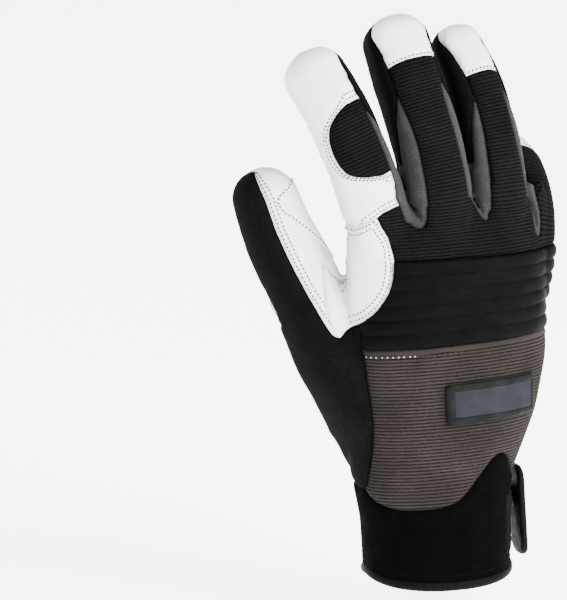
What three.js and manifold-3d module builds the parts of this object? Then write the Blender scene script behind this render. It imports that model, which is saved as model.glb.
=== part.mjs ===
// A right-hand winter work glove: a white goatskin palm with a thumb and web patch, a black ribbed stretch back,
// fourchettes and grey gussets between the fingers, a padded knuckle guard, a grey ribbed panel with a rubber plate,
// and a neoprene cuff with a bound hem and a hook-and-loop strap. It keeps the shape of a relaxed, gloved hand.
//
// Millimetres. +Z runs up the hand from the wrist mouth, whose centre is the origin. The back of the hand faces -Y,
// the palm faces +Y and the thumb is on the -X side.
//
// The glove is an outer hand form minus a smaller inner one. Each panel is the part of that wall that lies in the
// panel's own region, and the regions are taken in turn, each keeping a seam gap to those before it.
import * as THREE from "three";
import { mergeVertices } from "three/addons/utils/BufferGeometryUtils.js";
import Module from "manifold-3d";

const wasm = await Module();
wasm.setup();

const WALL = 2.2; // leather or stretch cloth with its fleece backing
const SEAM = 0.3; // gap between neighbouring panels
const HAND_SIDES = 32;
const DIGIT_SIDES = 14;
const NOSE_STEPS = 4;
const REACH = 3; // how far a region stands out past the wall that it picks

// Sections of the hand from the wrist mouth to the web between the fingers.
const HAND = [
  { z: 0, cx: 0, cy: 0, halfWidth: 32, halfDepth: 25, roundness: 2.2 },
  { z: 25, cx: 0, cy: 0, halfWidth: 33.5, halfDepth: 25, roundness: 2.2 },
  { z: 45, cx: -1, cy: 0, halfWidth: 37, halfDepth: 24, roundness: 2.2 },
  { z: 72, cx: 3, cy: 0, halfWidth: 44, halfDepth: 25, roundness: 2.3 },
  { z: 98, cx: 4.5, cy: 0, halfWidth: 47.5, halfDepth: 25, roundness: 2.4 },
  { z: 123, cx: 4.6, cy: 0, halfWidth: 46.6, halfDepth: 23, roundness: 2.4 },
  { z: 146, cx: 5.6, cy: 0, halfWidth: 46.6, halfDepth: 20, roundness: 2.4 },
  { z: 162, cx: 7, cy: 1, halfWidth: 47, halfDepth: 15, roundness: 2.4 },
  { z: 173, cx: 7, cy: 2, halfWidth: 44, halfDepth: 9, roundness: 2.4 },
];

// Each digit bends through its joints, from inside the hand to the middle of its fingertip.
// dorsal points out of its back, and nose is how far the round fingertip stands past the last joint. Its seams are
// angles from the back, towards each neighbour: where the back's cloth ends and where the palm's leather starts.
const DIGITS = {
  thumb: {
    dorsal: [-0.97, -0.12, 0.2],
    nose: 13,
    roundness: 2.4,
    joints: [
      { x: -8, y: 2, z: 42, halfWidth: 17, halfDepth: 17 },
      { x: -21, y: 7, z: 72, halfWidth: 22, halfDepth: 20 },
      { x: -39, y: 10, z: 101, halfWidth: 19, halfDepth: 20 },
      { x: -54.5, y: 16, z: 128, halfWidth: 16, halfDepth: 16.5 },
      { x: -65.5, y: 20, z: 151, halfWidth: 15, halfDepth: 15 },
      { x: -72, y: 23, z: 170, halfWidth: 13.5, halfDepth: 13.6 },
    ],
  },
  index: {
    dorsal: [0, -1, 0.2],
    nose: 12,
    roundness: 2.6,
    pinkySeam: { back: 35, palm: 116 },
    joints: [
      { x: -22, y: 0, z: 134, halfWidth: 14, halfDepth: 13 },
      { x: -28, y: -2, z: 162, halfWidth: 14, halfDepth: 13.5 },
      { x: -36.5, y: -1, z: 188, halfWidth: 14, halfDepth: 13.5 },
      { x: -45, y: 5, z: 210, halfWidth: 14, halfDepth: 13.5 },
      { x: -52, y: 12, z: 225, halfWidth: 13.5, halfDepth: 12.5 },
    ],
  },
  middle: {
    dorsal: [0, -1, 0.2],
    nose: 12,
    roundness: 2.6,
    thumbSeam: { back: 46, palm: 124 },
    pinkySeam: { back: 53, palm: 128 },
    joints: [
      { x: 0, y: 0, z: 134, halfWidth: 14, halfDepth: 13 },
      { x: -0.5, y: -4, z: 164, halfWidth: 14, halfDepth: 14.5 },
      { x: -4, y: 0, z: 192, halfWidth: 14.5, halfDepth: 15 },
      { x: -9, y: 8, z: 218, halfWidth: 15, halfDepth: 15 },
      { x: -13, y: 16, z: 237, halfWidth: 14.5, halfDepth: 14 },
    ],
  },
  ring: {
    dorsal: [0, -1, 0.2],
    nose: 12,
    roundness: 2.6,
    thumbSeam: { back: 20, palm: 120 },
    pinkySeam: { back: 60, palm: 134 },
    joints: [
      { x: 26, y: 0, z: 132, halfWidth: 13.5, halfDepth: 13 },
      { x: 28.5, y: -1, z: 162, halfWidth: 13.5, halfDepth: 14 },
      { x: 27, y: 4, z: 189, halfWidth: 13.6, halfDepth: 14 },
      { x: 23.4, y: 13, z: 213, halfWidth: 13, halfDepth: 13.5 },
      { x: 19, y: 23, z: 230, halfWidth: 12, halfDepth: 12.5 },
    ],
  },
  pinky: {
    dorsal: [0.1, -1, 0.3],
    nose: 10,
    roundness: 2.5,
    thumbSeam: { back: 52, palm: 128 },
    joints: [
      { x: 41, y: 2, z: 122, halfWidth: 11.5, halfDepth: 12 },
      { x: 44.5, y: 3, z: 144, halfWidth: 12, halfDepth: 13 },
      { x: 46.5, y: 9, z: 161, halfWidth: 12, halfDepth: 12.5 },
      { x: 48.3, y: 24, z: 173.5, halfWidth: 11.5, halfDepth: 11.5 },
      { x: 48.8, y: 38.5, z: 178, halfWidth: 11, halfDepth: 10.5 },
    ],
  },
};

// The cuff's lower edge dips a little at the back of the hand and in a rounded tongue at the palm.
const HEM = { height: 4, backDip: 6, tongueX: -9, tongueDrop: 16, tongueThumbSide: 14, tonguePinkySide: 24 };

function hemZ(x, y) {
  const out = y / HAND[0].halfDepth;
  if (out < 0) return HEM.backDip * out;
  const spread = x < HEM.tongueX ? HEM.tongueThumbSide : HEM.tonguePinkySide;
  return -HEM.tongueDrop * out * Math.exp(-(((x - HEM.tongueX) / spread) ** 2));
}

const lerp = THREE.MathUtils.lerp;
const radians = THREE.MathUtils.degToRad;
const signedPower = (value, power) => Math.sign(value) * Math.abs(value) ** power;

// A closed geometry as a solid for joining and cutting.
function solidOf(geometry) {
  const bare = geometry.clone();
  bare.deleteAttribute("normal");
  bare.deleteAttribute("uv");
  const merged = mergeVertices(bare, 1e-4);
  return new wasm.Manifold(
    new wasm.Mesh({
      numProp: 3,
      vertProperties: merged.attributes.position.array,
      triVerts: new Uint32Array(merged.index.array),
    }),
  );
}

// A closed solid skinned over rings of equal length that turn anticlockwise as seen from the last ring.
// Each end is a fan from the ring's first point.
function loft(rings) {
  const sides = rings[0].length;
  const last = (rings.length - 1) * sides;
  const index = [];
  for (let start = 0; start < last; start += sides)
    for (let k = 0; k < sides; k++) {
      const a = start + k;
      const b = start + ((k + 1) % sides);
      index.push(a, b, b + sides, a, b + sides, a + sides);
    }
  for (let k = 1; k + 1 < sides; k++) {
    index.push(0, k + 1, k);
    index.push(last, last + k, last + k + 1);
  }
  const positions = rings.flat().flatMap((point) => point.toArray());
  const geometry = new THREE.BufferGeometry();
  geometry.setAttribute("position", new THREE.Float32BufferAttribute(positions, 3));
  geometry.setIndex(index);
  return solidOf(geometry);
}

// One ring of the hand, starting at the back and turning towards the little finger. heightAt gives each point's z.
function handRing(section, grow, heightAt) {
  const power = 2 / section.roundness;
  return Array.from({ length: HAND_SIDES }, (_, k) => {
    const angle = (2 * Math.PI * k) / HAND_SIDES;
    const x = section.cx + (section.halfWidth + grow) * signedPower(Math.sin(angle), power);
    const y = section.cy - (section.halfDepth + grow) * signedPower(Math.cos(angle), power);
    return new THREE.Vector3(x, y, heightAt(x, y));
  });
}

// The whole hand form, grown outwards by some millimetres. Its lower edge follows the hem, raised by each lift.
function handForm(grow, ...lifts) {
  const mouth = lifts.map((lift) => handRing(HAND[0], grow, (x, y) => hemZ(x, y) + lift));
  const above = HAND.slice(1).map((section, k, rest) => {
    const z = k === rest.length - 1 ? section.z + grow : section.z;
    return handRing(section, grow, () => z);
  });
  return loft([...mouth, ...above]);
}

// The hand form's hollow: it runs on down past the hem so that the mouth is open.
function handHollow() {
  const below = handRing(HAND[0], -WALL, () => -60);
  const above = HAND.map((section, k) => {
    const z = k === HAND.length - 1 ? section.z - WALL : section.z;
    return handRing(section, -WALL, () => z);
  });
  return loft([below, ...above]);
}

// Where a digit's own frame stands at a distance from the end of its fingertip: the centre, the axis, the two
// directions across it and its half sizes.
function digitFrame(digit, fromTip) {
  const { joints, nose, dorsal } = digit;
  const points = joints.map((joint) => new THREE.Vector3(joint.x, joint.y, joint.z));
  const curve = (digit.curve ??= new THREE.CatmullRomCurve3(points, false, "catmullrom", 0.5));
  const length = curve.getLength();
  const along = length + nose - fromTip;
  const share = THREE.MathUtils.clamp(along / length, 0, 1);
  const axis = curve.getTangentAt(share);
  const centre = curve.getPointAt(share).addScaledVector(axis, Math.max(0, along - length));
  const place = curve.getUtoTmapping(share, 0) * (joints.length - 1);
  const from = Math.min(Math.floor(place), joints.length - 2);
  const blend = (key) => lerp(joints[from][key], joints[from + 1][key], place - from);
  const back = new THREE.Vector3(...dorsal);
  back.addScaledVector(axis, -back.dot(axis)).normalize();
  const side = new THREE.Vector3().crossVectors(axis, back);
  return { centre, axis, back, side, halfWidth: blend("halfWidth"), halfDepth: blend("halfDepth"), length };
}

// A point round a digit. Angle 0 is its back, and on the fingers +90 degrees is the side of the little finger.
function digitPoint(digit, frame, degrees, grow, shrink = 1) {
  const power = 2 / digit.roundness;
  const angle = radians(degrees);
  return frame.centre
    .clone()
    .addScaledVector(frame.back, (frame.halfDepth + grow) * shrink * signedPower(Math.cos(angle), power))
    .addScaledVector(frame.side, (frame.halfWidth + grow) * shrink * signedPower(Math.sin(angle), power));
}

// A whole digit with its round fingertip, grown outwards by some millimetres.
function digitForm(digit, grow) {
  const shaft = digit.joints.length + 3;
  const { length } = digitFrame(digit, 0);
  const ring = (frame, shrink) =>
    Array.from({ length: DIGIT_SIDES }, (_, k) => digitPoint(digit, frame, (360 * k) / DIGIT_SIDES, grow, shrink));
  const rings = [];
  for (let k = 0; k < shaft; k++)
    rings.push(ring(digitFrame(digit, digit.nose + length * (1 - k / (shaft - 1))), 1));
  for (let k = 1; k <= NOSE_STEPS; k++) {
    const angle = radians((80 * k) / NOSE_STEPS);
    const frame = digitFrame(digit, digit.nose);
    frame.centre.addScaledVector(frame.axis, (digit.nose + grow) * Math.sin(angle));
    rings.push(ring(frame, Math.cos(angle)));
  }
  return loft(rings);
}

// A region round a digit, between two angles that vary along it. Rows run from the fingertip down. Grown, its
// apex backs off past the digit's axis, so that regions that meet on the axis stay apart there too.
function digitRegion(digit, rows, grow) {
  const arcSteps = 6;
  const spare = THREE.MathUtils.radToDeg(grow / 12);
  const rings = rows.map((row, k) => {
    const end = k === 0 ? -grow : k === rows.length - 1 ? grow : 0;
    const frame = digitFrame(digit, row.fromTip + end);
    const arc = Array.from({ length: arcSteps + 1 }, (_, n) =>
      digitPoint(digit, frame, lerp(row.from - spare, row.to + spare, n / arcSteps), REACH + grow),
    );
    const middle = digitPoint(digit, frame, (row.from + row.to) / 2, 0).sub(frame.centre).normalize();
    const backOff = Math.min(1.2, grow / Math.sin(radians((row.to - row.from) / 2)));
    return [frame.centre.clone().addScaledVector(middle, -backOff), ...arc];
  });
  return loft(rings.reverse());
}

// A region seen from the back of the hand: an outline in x and z, anticlockwise, pushed through from y0 to y1.
function slab(outline, y0, y1, grow = 0) {
  const points = outline.map(([x, z]) => new THREE.Vector2(x, z));
  const moved = points.map((point, k) => {
    const before = points[(k + points.length - 1) % points.length];
    const after = points[(k + 1) % points.length];
    const inward = new THREE.Vector2().subVectors(point, before).normalize();
    const onward = new THREE.Vector2().subVectors(after, point).normalize();
    const normal = new THREE.Vector2(inward.y + onward.y, -inward.x - onward.x).normalize();
    const square = Math.max(0.5, normal.x * onward.y - normal.y * onward.x);
    return point.clone().addScaledVector(normal, grow / square);
  });
  const depth = y1 - y0 + 2 * grow;
  const geometry = new THREE.ExtrudeGeometry(new THREE.Shape(moved), { depth, bevelEnabled: false });
  geometry.rotateX(Math.PI / 2);
  geometry.translate(0, y1 + grow, 0);
  return solidOf(geometry);
}

const join = (solids) => solids.reduce((whole, solid) => whole.add(solid));

// The largest body of a solid, which leaves out slivers that a cut has shaved off.
const mainBody = (solid) => solid.decompose().reduce((best, body) => (body.volume() > best.volume() ? body : best));

const digits = Object.values(DIGITS);
const hollow = join([handHollow(), ...digits.map((digit) => digitForm(digit, -WALL))]);
const gloveForm = (grow) => join([handForm(grow, HEM.height + SEAM), ...digits.map((digit) => digitForm(digit, grow))]);
const glove = gloveForm(0).subtract(hollow);

const given = [];

// Takes a region's share of the glove's wall. regionAt gives the region grown by some millimetres.
function panel(regionAt, wall = glove) {
  let piece = wall.intersect(regionAt(0));
  for (const other of given) piece = piece.subtract(other);
  given.push(regionAt(SEAM));
  return mainBody(piece);
}

// The two seams of a finger's side close on each other at its tip: share is how far they stand at their full angles.
const CLOSING = [
  { fromTip: -3, share: 0.04 },
  { fromTip: 5, share: 0.45 },
  { fromTip: 14, share: 0.85 },
  { fromTip: 28, share: 1 },
  { fromTip: 200, share: 1 },
];
const TO_PINKY = 1;
const TO_THUMB = -1;
const PINKY_WRAP = 95; // the little finger's back cloth wraps this far round its outer side
const LAP = 8; // how far a back's region laps a side strip, which then trims it

// The angle of a finger's seam at a distance from the fingertip. edge is "back" or "palm".
function seamAngle(digit, side, edge, fromTip) {
  const seam = side === TO_PINKY ? digit.pinkySeam : digit.thumbSeam;
  if (!seam) return PINKY_WRAP - LAP;
  const k = CLOSING.findIndex((row) => row.fromTip > fromTip);
  const [before, after] = [CLOSING[k - 1], CLOSING[k]];
  const share = lerp(before.share, after.share, (fromTip - before.fromTip) / (after.fromTip - before.fromTip));
  return lerp(90, seam[edge], share);
}

// A region on one side of a finger, between two angles that functions give at each distance from the tip.
function sideRegion(name, side, stations, near, far, grow) {
  const rows = stations.map((fromTip) => {
    const ends = [side * near(fromTip), side * far(fromTip)];
    return { fromTip, from: Math.min(...ends), to: Math.max(...ends) };
  });
  return digitRegion(DIGITS[name], rows, grow);
}

// A region on a finger's back, from one side strip to the other.
function backRegion(name, stations, grow) {
  const digit = DIGITS[name];
  const rows = stations.map((fromTip) => ({
    fromTip,
    from: -seamAngle(digit, TO_THUMB, "back", fromTip) - LAP,
    to: seamAngle(digit, TO_PINKY, "back", fromTip) + LAP,
  }));
  return digitRegion(digit, rows, grow);
}

// The webs between the fingers. Each has a grey gusset whose two arms run up the neighbouring fingers and meet in
// a rounded point, low on the back of the hand, and a black fourchette behind it.
const CROTCHES = [
  { name: "index_middle", thumbSide: "index", pinkySide: "middle", x: -12.8, low: 159, lean: -2, half: 5, web: 176 },
  { name: "middle_ring", thumbSide: "middle", pinkySide: "ring", x: 17.6, low: 161, lean: -2, half: 4, web: 176 },
  { name: "ring_pinky", thumbSide: "ring", pinkySide: "pinky", x: 43, low: 152, lean: -3, half: 3, web: 170 },
];

// How far round from the back seam a gusset reaches. It tapers to a point halfway up the finger.
const GUSSET_ROWS = [
  { fromTip: 38, reach: 3 },
  { fromTip: 48, reach: 26 },
  { fromTip: 60, reach: 38 },
  { fromTip: 84, reach: 46 },
];

function gussetRegion(crotch, grow) {
  const stations = GUSSET_ROWS.map((row) => row.fromTip);
  const arm = (name, side) => {
    const near = (fromTip) => seamAngle(DIGITS[name], side, "back", fromTip);
    const far = (fromTip) => near(fromTip) + GUSSET_ROWS.find((row) => row.fromTip === fromTip).reach;
    return sideRegion(name, side, stations, near, far, grow);
  };
  const { x, low, lean, half, web } = crotch;
  const middle = x + lean;
  const point = [
    [x - 1.2, low], [x + 1.2, low], [middle + half, low + 9], [middle + half, web + 4],
    [middle - half, web + 4], [middle - half, low + 9],
  ];
  return join([arm(crotch.thumbSide, TO_PINKY), arm(crotch.pinkySide, TO_THUMB), slab(point, -40, 3, grow)]);
}

function fourchetteRegion(crotch, grow) {
  const arm = (name, side) => {
    const stations = [-3, 5, 14, 28, 50, name === "pinky" ? 58 : 74];
    const edge = (which) => (fromTip) => seamAngle(DIGITS[name], side, which, fromTip);
    return sideRegion(name, side, stations, edge("back"), edge("palm"), grow);
  };
  const { x, lean, web } = crotch;
  const edges = [x + lean - 6.5, x + lean + 6.5];
  const bridge = [[edges[0], web - 7], [edges[1], web - 7], [edges[1], web + 6], [edges[0], web + 6]];
  return join([arm(crotch.thumbSide, TO_PINKY), arm(crotch.pinkySide, TO_THUMB), slab(bridge, -7, 11, grow)]);
}

const gussets = CROTCHES.map((crotch) => panel((grow) => gussetRegion(crotch, grow)));
const fourchettes = CROTCHES.map((crotch) => panel((grow) => fourchetteRegion(crotch, grow)));

// White leather caps on the backs of three fingertips.
const CAPS = [
  { name: "middle", stations: [-3, 5, 14, 24] },
  { name: "ring", stations: [-3, 5, 14, 28] },
  { name: "pinky", stations: [-3, 5, 15] },
];
const caps = CAPS.map((cap) => panel((grow) => backRegion(cap.name, cap.stations, grow)));

// The ribbed oval over the index knuckle, cut off straight by the fourchette.
const OVAL_TO = DIGITS.index.pinkySeam.back + LAP;
const KNUCKLE_OVAL = [
  { fromTip: 30.5, from: 8, to: OVAL_TO },
  { fromTip: 34, from: -26, to: OVAL_TO },
  { fromTip: 40, from: -51, to: OVAL_TO },
  { fromTip: 46, from: -58, to: OVAL_TO },
  { fromTip: 52, from: -52, to: OVAL_TO },
  { fromTip: 57, from: -32, to: OVAL_TO },
  { fromTip: 60, from: 2, to: OVAL_TO },
];
const knuckleOval = panel((grow) => digitRegion(DIGITS.index, KNUCKLE_OVAL, grow));

// The lens of leather on the back of the hand beside the thumb.
const WEB_LENS = [
  [-47, 110.5], [-40, 114], [-33, 121], [-28, 130], [-25.5, 140],
  [-26.5, 150], [-30, 158], [-35, 165], [-44, 156], [-50, 142],
];
const webPatch = panel((grow) => slab(WEB_LENS, -60, -3, grow));

// Black cloth on the thumb's back, which runs on down the edge of the hand to the cuff.
const THUMB_BACK = [
  { fromTip: -3, from: -58, to: 60 },
  { fromTip: 12, from: -66, to: 66 },
  { fromTip: 45, from: -66, to: 64 },
  { fromTip: 66, from: -66, to: 62 },
  { fromTip: 84, from: -66, to: 66 },
];
const CUFF_TOP = { palm: 36, thumbEdge: 42 };
const GUARD = { low: 105.2, lowSlope: 0.06, high: 145, bars: 6, bulge: 2.1, valley: 0.4 };
const guardLowAt = (x) => GUARD.low + GUARD.lowSlope * x;
const EDGE_BACK = [
  [-90, CUFF_TOP.thumbEdge], [-34.5, CUFF_TOP.thumbEdge], [-33.5, 60], [-34.7, 80], [-38, guardLowAt(-38)],
  [-39.5, 116], [-47, 111.5], [-55.5, 117.5], [-61, 126], [-90, 126],
];
const EDGE_PALM = [
  [-90, CUFF_TOP.thumbEdge], [-23, CUFF_TOP.thumbEdge], [-32, 60], [-41, 80], [-50, 100], [-56, 112], [-90, 112],
];
const edgePanel = panel((grow) =>
  join([
    digitRegion(DIGITS.thumb, THUMB_BACK, grow),
    slab(EDGE_BACK, -60, 0.5, grow),
    slab(EDGE_PALM, -0.5, 60, grow),
  ]),
);

// The knuckle guard's wall, scalloped into bars across the back of the hand.
function guardForm() {
  const sectionAt = (z) => {
    const above = HAND.findIndex((section) => section.z > z);
    const [low, high] = [HAND[above - 1], HAND[above]];
    const share = (z - low.z) / (high.z - low.z);
    return Object.fromEntries(Object.keys(low).map((key) => [key, lerp(low[key], high[key], share)]));
  };
  const stepsPerBar = 4;
  const steps = GUARD.bars * stepsPerBar;
  const rings = Array.from({ length: steps + 1 }, (_, k) => {
    const z = lerp(GUARD.low, GUARD.high, k / steps);
    const bulge = lerp(GUARD.valley, GUARD.bulge, Math.abs(Math.sin((Math.PI * k) / stepsPerBar)) ** 0.6);
    return handRing(sectionAt(z), bulge, (x) => lerp(guardLowAt(x), GUARD.high, k / steps));
  });
  return loft(rings).subtract(hollow);
}

const PINKY_EDGE_Y = 2; // the back's panels meet the palm leather here, on the little finger's side
const GUARD_OUTLINE = [[-39, guardLowAt(-39)], [80, guardLowAt(80)], [80, GUARD.high], [-36, GUARD.high]];
const knuckleGuard = panel((grow) => slab(GUARD_OUTLINE, -60, PINKY_EDGE_Y, grow), guardForm());

// The ribbed back: the strip above the guard and the backs of three fingers.
const BACK_OUTLINE = [[-30, GUARD.high], [80, GUARD.high], [80, 174], [-16, 174], [-22, 171], [-30, 167], [-36, 163], [-30, 156]];
const backPanel = panel((grow) => {
  const fingers = CAPS.map((cap) => backRegion(cap.name, [10, 28, 56, 84], grow));
  return join([slab(BACK_OUTLINE, -60, PINKY_EDGE_Y, grow), ...fingers]);
});

// The grey ribbed panel, whose lower edge rises in a wave beside the strap.
const GREY_OUTLINE = [
  [-30, 35], [-24, 33], [0, 33.5], [6, 37], [12, 45], [17, 53], [22, 57], [27, 55], [33, 47], [38, 43],
  [80, 43], [80, guardLowAt(80)], [-60, guardLowAt(-60)], [-60, 40], [-34, 40],
];
const greyPanel = panel((grow) => slab(GREY_OUTLINE, -60, PINKY_EDGE_Y, grow));

const CUFF_BACK = [[-90, -40], [90, -40], [90, 60], [-90, 60]];
const CUFF_PALM = [
  [-90, -40], [90, -40], [90, CUFF_TOP.palm], [-20, CUFF_TOP.palm], [-24, CUFF_TOP.thumbEdge], [-90, CUFF_TOP.thumbEdge],
];
const cuff = panel((grow) => join([slab(CUFF_BACK, -60, PINKY_EDGE_Y, grow), slab(CUFF_PALM, 0, 60, grow)]));

// The rest of the wall is one piece of goatskin: the palm, the fronts of the fingers, the index and the thumb.
const palmLeather = panel(() => slab([[-200, -200], [200, -200], [200, 400], [-200, 400]], -200, 200));

// A sheet that lies on the glove's outer face: the part of a layer above it that is in a region.
const CUFF_EDGE = HEM.height + SEAM;
const core = join([handForm(SEAM, -30, CUFF_EDGE), ...digits.map((digit) => digitForm(digit, SEAM))]);

function overlay(form, thickness, region) {
  return mainBody(form(SEAM + thickness).subtract(core).intersect(region));
}

const handLayer = (grow) => handForm(grow, CUFF_EDGE);

const THUMB_PATCH = [
  { fromTip: 9, from: 105, to: 200 },
  { fromTip: 14, from: 82, to: 225 },
  { fromTip: 22, from: 78, to: 238 },
  { fromTip: 34, from: 88, to: 238 },
  { fromTip: 46, from: 104, to: 232 },
  { fromTip: 57, from: 126, to: 215 },
  { fromTip: 64, from: 150, to: 190 },
];
const thumbPatch = overlay((grow) => digitForm(DIGITS.thumb, grow), 1, digitRegion(DIGITS.thumb, THUMB_PATCH, 0));

// A rectangle with round corners, turned about its centre, as points in x and z.
function roundedOutline(cx, cz, width, height, radius, degrees) {
  const corners = [[1, -1, -90], [1, 1, 0], [-1, 1, 90], [-1, -1, 180]];
  const turn = radians(degrees);
  return corners.flatMap(([sx, sz, start]) =>
    [0, 45, 90].map((step) => {
      const angle = radians(start + step);
      const u = sx * (width / 2 - radius) + radius * Math.cos(angle);
      const v = sz * (height / 2 - radius) + radius * Math.sin(angle);
      return [cx + u * Math.cos(turn) - v * Math.sin(turn), cz + u * Math.sin(turn) + v * Math.cos(turn)];
    }),
  );
}

const PLATE = { x: 17.8, z: 81.5, width: 42.5, height: 17, corner: 1.5, turn: 2, thickness: 1.6 };
const plateOutline = roundedOutline(PLATE.x, PLATE.z, PLATE.width, PLATE.height, PLATE.corner, PLATE.turn);
const plate = overlay(handLayer, PLATE.thickness, slab(plateOutline, -60, 0));

// The bound hem round the cuff's lower edge.
const BINDING_PROUD = 0.9;
const bindingRings = [0, HEM.height].map((lift) => handRing(HAND[0], BINDING_PROUD, (x, y) => hemZ(x, y) + lift));
const boreRings = [-60, 60].map((z) => handRing(HAND[0], -WALL - BINDING_PROUD, () => z));
const hemBinding = loft(bindingRings).subtract(loft(boreRings));

// The strap crosses the palm side of the cuff to the little finger's edge. Its rubber tab stands off the cuff there.
const STRAP = { low: 5, high: 36, palmEnd: 16, thickness: 2 };
const TAB = { width: 15, height: 39, corner: 6, thickness: 2.8, x: 39.2, y: -1.5, z: 26, lean: -2.9 };
const tabShape = new THREE.Shape(
  roundedOutline(0, 0, TAB.width, TAB.height, TAB.corner, 0).map(([u, v]) => new THREE.Vector2(u, v)),
);
const tabGeometry = new THREE.ExtrudeGeometry(tabShape, { depth: TAB.thickness, bevelEnabled: false });
tabGeometry.translate(0, 0, -TAB.thickness / 2);
tabGeometry.rotateX(Math.PI / 2);
tabGeometry.rotateZ(Math.PI / 2);
tabGeometry.rotateY(radians(TAB.lean));
tabGeometry.translate(TAB.x, TAB.y, TAB.z);
const tab = solidOf(tabGeometry);

const strapMiddle = [(STRAP.palmEnd + 60) / 2, (STRAP.low + STRAP.high) / 2];
const STRAP_OUTLINE = roundedOutline(...strapMiddle, 60 - STRAP.palmEnd, STRAP.high - STRAP.low, 3, 0);
const strapSheet = overlay(handLayer, STRAP.thickness, slab(STRAP_OUTLINE, 0, 60));
const tabFaceX = TAB.x - TAB.thickness / 2 - SEAM;
const TAB_SEAT = [[30, 14], [tabFaceX + 2, 14], [tabFaceX + 2, 34], [30, 34]];
const tabSeat = slab(TAB_SEAT, 0, 4.5).subtract(core);
const strap = mainBody(strapSheet.add(tabSeat).subtract(tab));

const PULL_STRIP = { x: -9, width: 16.5, thickness: 1 };
const pullEdges = [PULL_STRIP.x - PULL_STRIP.width / 2, PULL_STRIP.x + PULL_STRIP.width / 2];
const pullTop = CUFF_TOP.palm - 0.5;
const pullOutline = [[pullEdges[0], -60], [pullEdges[1], -60], [pullEdges[1], pullTop], [pullEdges[0], pullTop]];
const pullStrip = overlay(handLayer, PULL_STRIP.thickness, slab(pullOutline, 0, 60));

const leather = (color) => new THREE.MeshStandardMaterial({ color, roughness: 0.6, metalness: 0 });
const cloth = (color) => new THREE.MeshStandardMaterial({ color, roughness: 0.95, metalness: 0 });
const rubber = (color) => new THREE.MeshStandardMaterial({ color, roughness: 0.45, metalness: 0 });
const WHITE_LEATHER = leather(0xe9e9e7);
const BLACK_CLOTH = cloth(0x0e0e0f);
const BLACK_RIB = cloth(0x131314);
const GREY_CLOTH = cloth(0x6f6c69);
const GREY_RIB = cloth(0x6d6260);
const BLACK_NEOPRENE = cloth(0x121213);
const GREY_RUBBER = rubber(0x4d5156);
const BLACK_RUBBER = rubber(0x161617);

const group = new THREE.Group();

function add(name, solid, material) {
  const { vertProperties, triVerts, numProp } = solid.getMesh();
  const positions = new Float32Array((vertProperties.length / numProp) * 3);
  for (let k = 0; k * 3 < positions.length; k++)
    positions.set(vertProperties.subarray(k * numProp, k * numProp + 3), k * 3);
  const geometry = new THREE.BufferGeometry();
  geometry.setAttribute("position", new THREE.BufferAttribute(positions, 3));
  geometry.setIndex(new THREE.BufferAttribute(new Uint32Array(triVerts), 1));
  geometry.computeVertexNormals();
  const mesh = new THREE.Mesh(geometry, material);
  mesh.name = name;
  group.add(mesh);
}

add("palm_leather", palmLeather, WHITE_LEATHER);
add("thumb_patch", thumbPatch, WHITE_LEATHER);
add("web_patch", webPatch, WHITE_LEATHER);
CAPS.forEach((cap, k) => add(`${cap.name}_cap`, caps[k], WHITE_LEATHER));
add("index_knuckle_oval", knuckleOval, BLACK_RIB);
add("back_panel", backPanel, BLACK_RIB);
add("edge_panel", edgePanel, BLACK_CLOTH);
CROTCHES.forEach((crotch, k) => {
  add(`gusset_${crotch.name}`, gussets[k], GREY_CLOTH);
  add(`fourchette_${crotch.name}`, fourchettes[k], BLACK_CLOTH);
});
add("knuckle_guard", knuckleGuard, BLACK_NEOPRENE);
add("grey_panel", greyPanel, GREY_RIB);
add("plate", plate, GREY_RUBBER);
add("cuff", cuff, BLACK_NEOPRENE);
add("hem_binding", hemBinding, BLACK_CLOTH);
add("strap", strap, BLACK_NEOPRENE);
add("strap_tab", tab, BLACK_RUBBER);
add("pull_strip", pullStrip, WHITE_LEATHER);

export default group;
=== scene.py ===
# %% [markdown]
# # A lined winter work glove
# The glove is white goatskin on the palm, the thumb and the fingertips, and black stretch cloth on the
# back. It has a padded guard over the knuckles, a grey ribbed panel with a rubber plate, and a neoprene
# cuff. The CAD model gives the frame: every size and place below is in its millimetres, with the wrist at
# the origin.

import math

import bpy
import numpy as np
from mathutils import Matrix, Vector, kdtree


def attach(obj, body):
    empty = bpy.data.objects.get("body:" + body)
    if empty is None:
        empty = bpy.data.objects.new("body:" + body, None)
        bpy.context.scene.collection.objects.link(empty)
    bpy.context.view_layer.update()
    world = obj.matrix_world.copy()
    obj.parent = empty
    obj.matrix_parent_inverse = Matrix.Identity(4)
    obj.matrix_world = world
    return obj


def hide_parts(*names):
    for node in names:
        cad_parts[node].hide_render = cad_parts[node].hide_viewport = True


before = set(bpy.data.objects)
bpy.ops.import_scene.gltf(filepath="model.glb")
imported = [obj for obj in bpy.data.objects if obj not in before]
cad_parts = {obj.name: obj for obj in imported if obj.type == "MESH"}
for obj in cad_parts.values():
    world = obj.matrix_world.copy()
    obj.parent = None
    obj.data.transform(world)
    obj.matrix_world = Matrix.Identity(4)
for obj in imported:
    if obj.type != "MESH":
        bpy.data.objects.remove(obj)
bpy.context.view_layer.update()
MM = 0.001

# %% [markdown]
# ## The camera
# The photograph looks at the back of the hand, a little from the thumb's side and a little from above. A
# long lens keeps the fingers straight. The camera comes first.

# %% Set the camera
AZIMUTH = math.radians(-20)
ELEVATION = math.radians(12)
MM_PER_PIXEL = 0.445
PHOTO_WIDTH, PHOTO_HEIGHT = 567, 600
WRIST_PIXEL = (434, 570)  # where the frame's origin falls in the photograph
LENS = 400  # millimetres, on a 36 mm sensor
SEEN_DEPTH = -14  # the y of the surface that the scale was read on
SENSOR = 36

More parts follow.
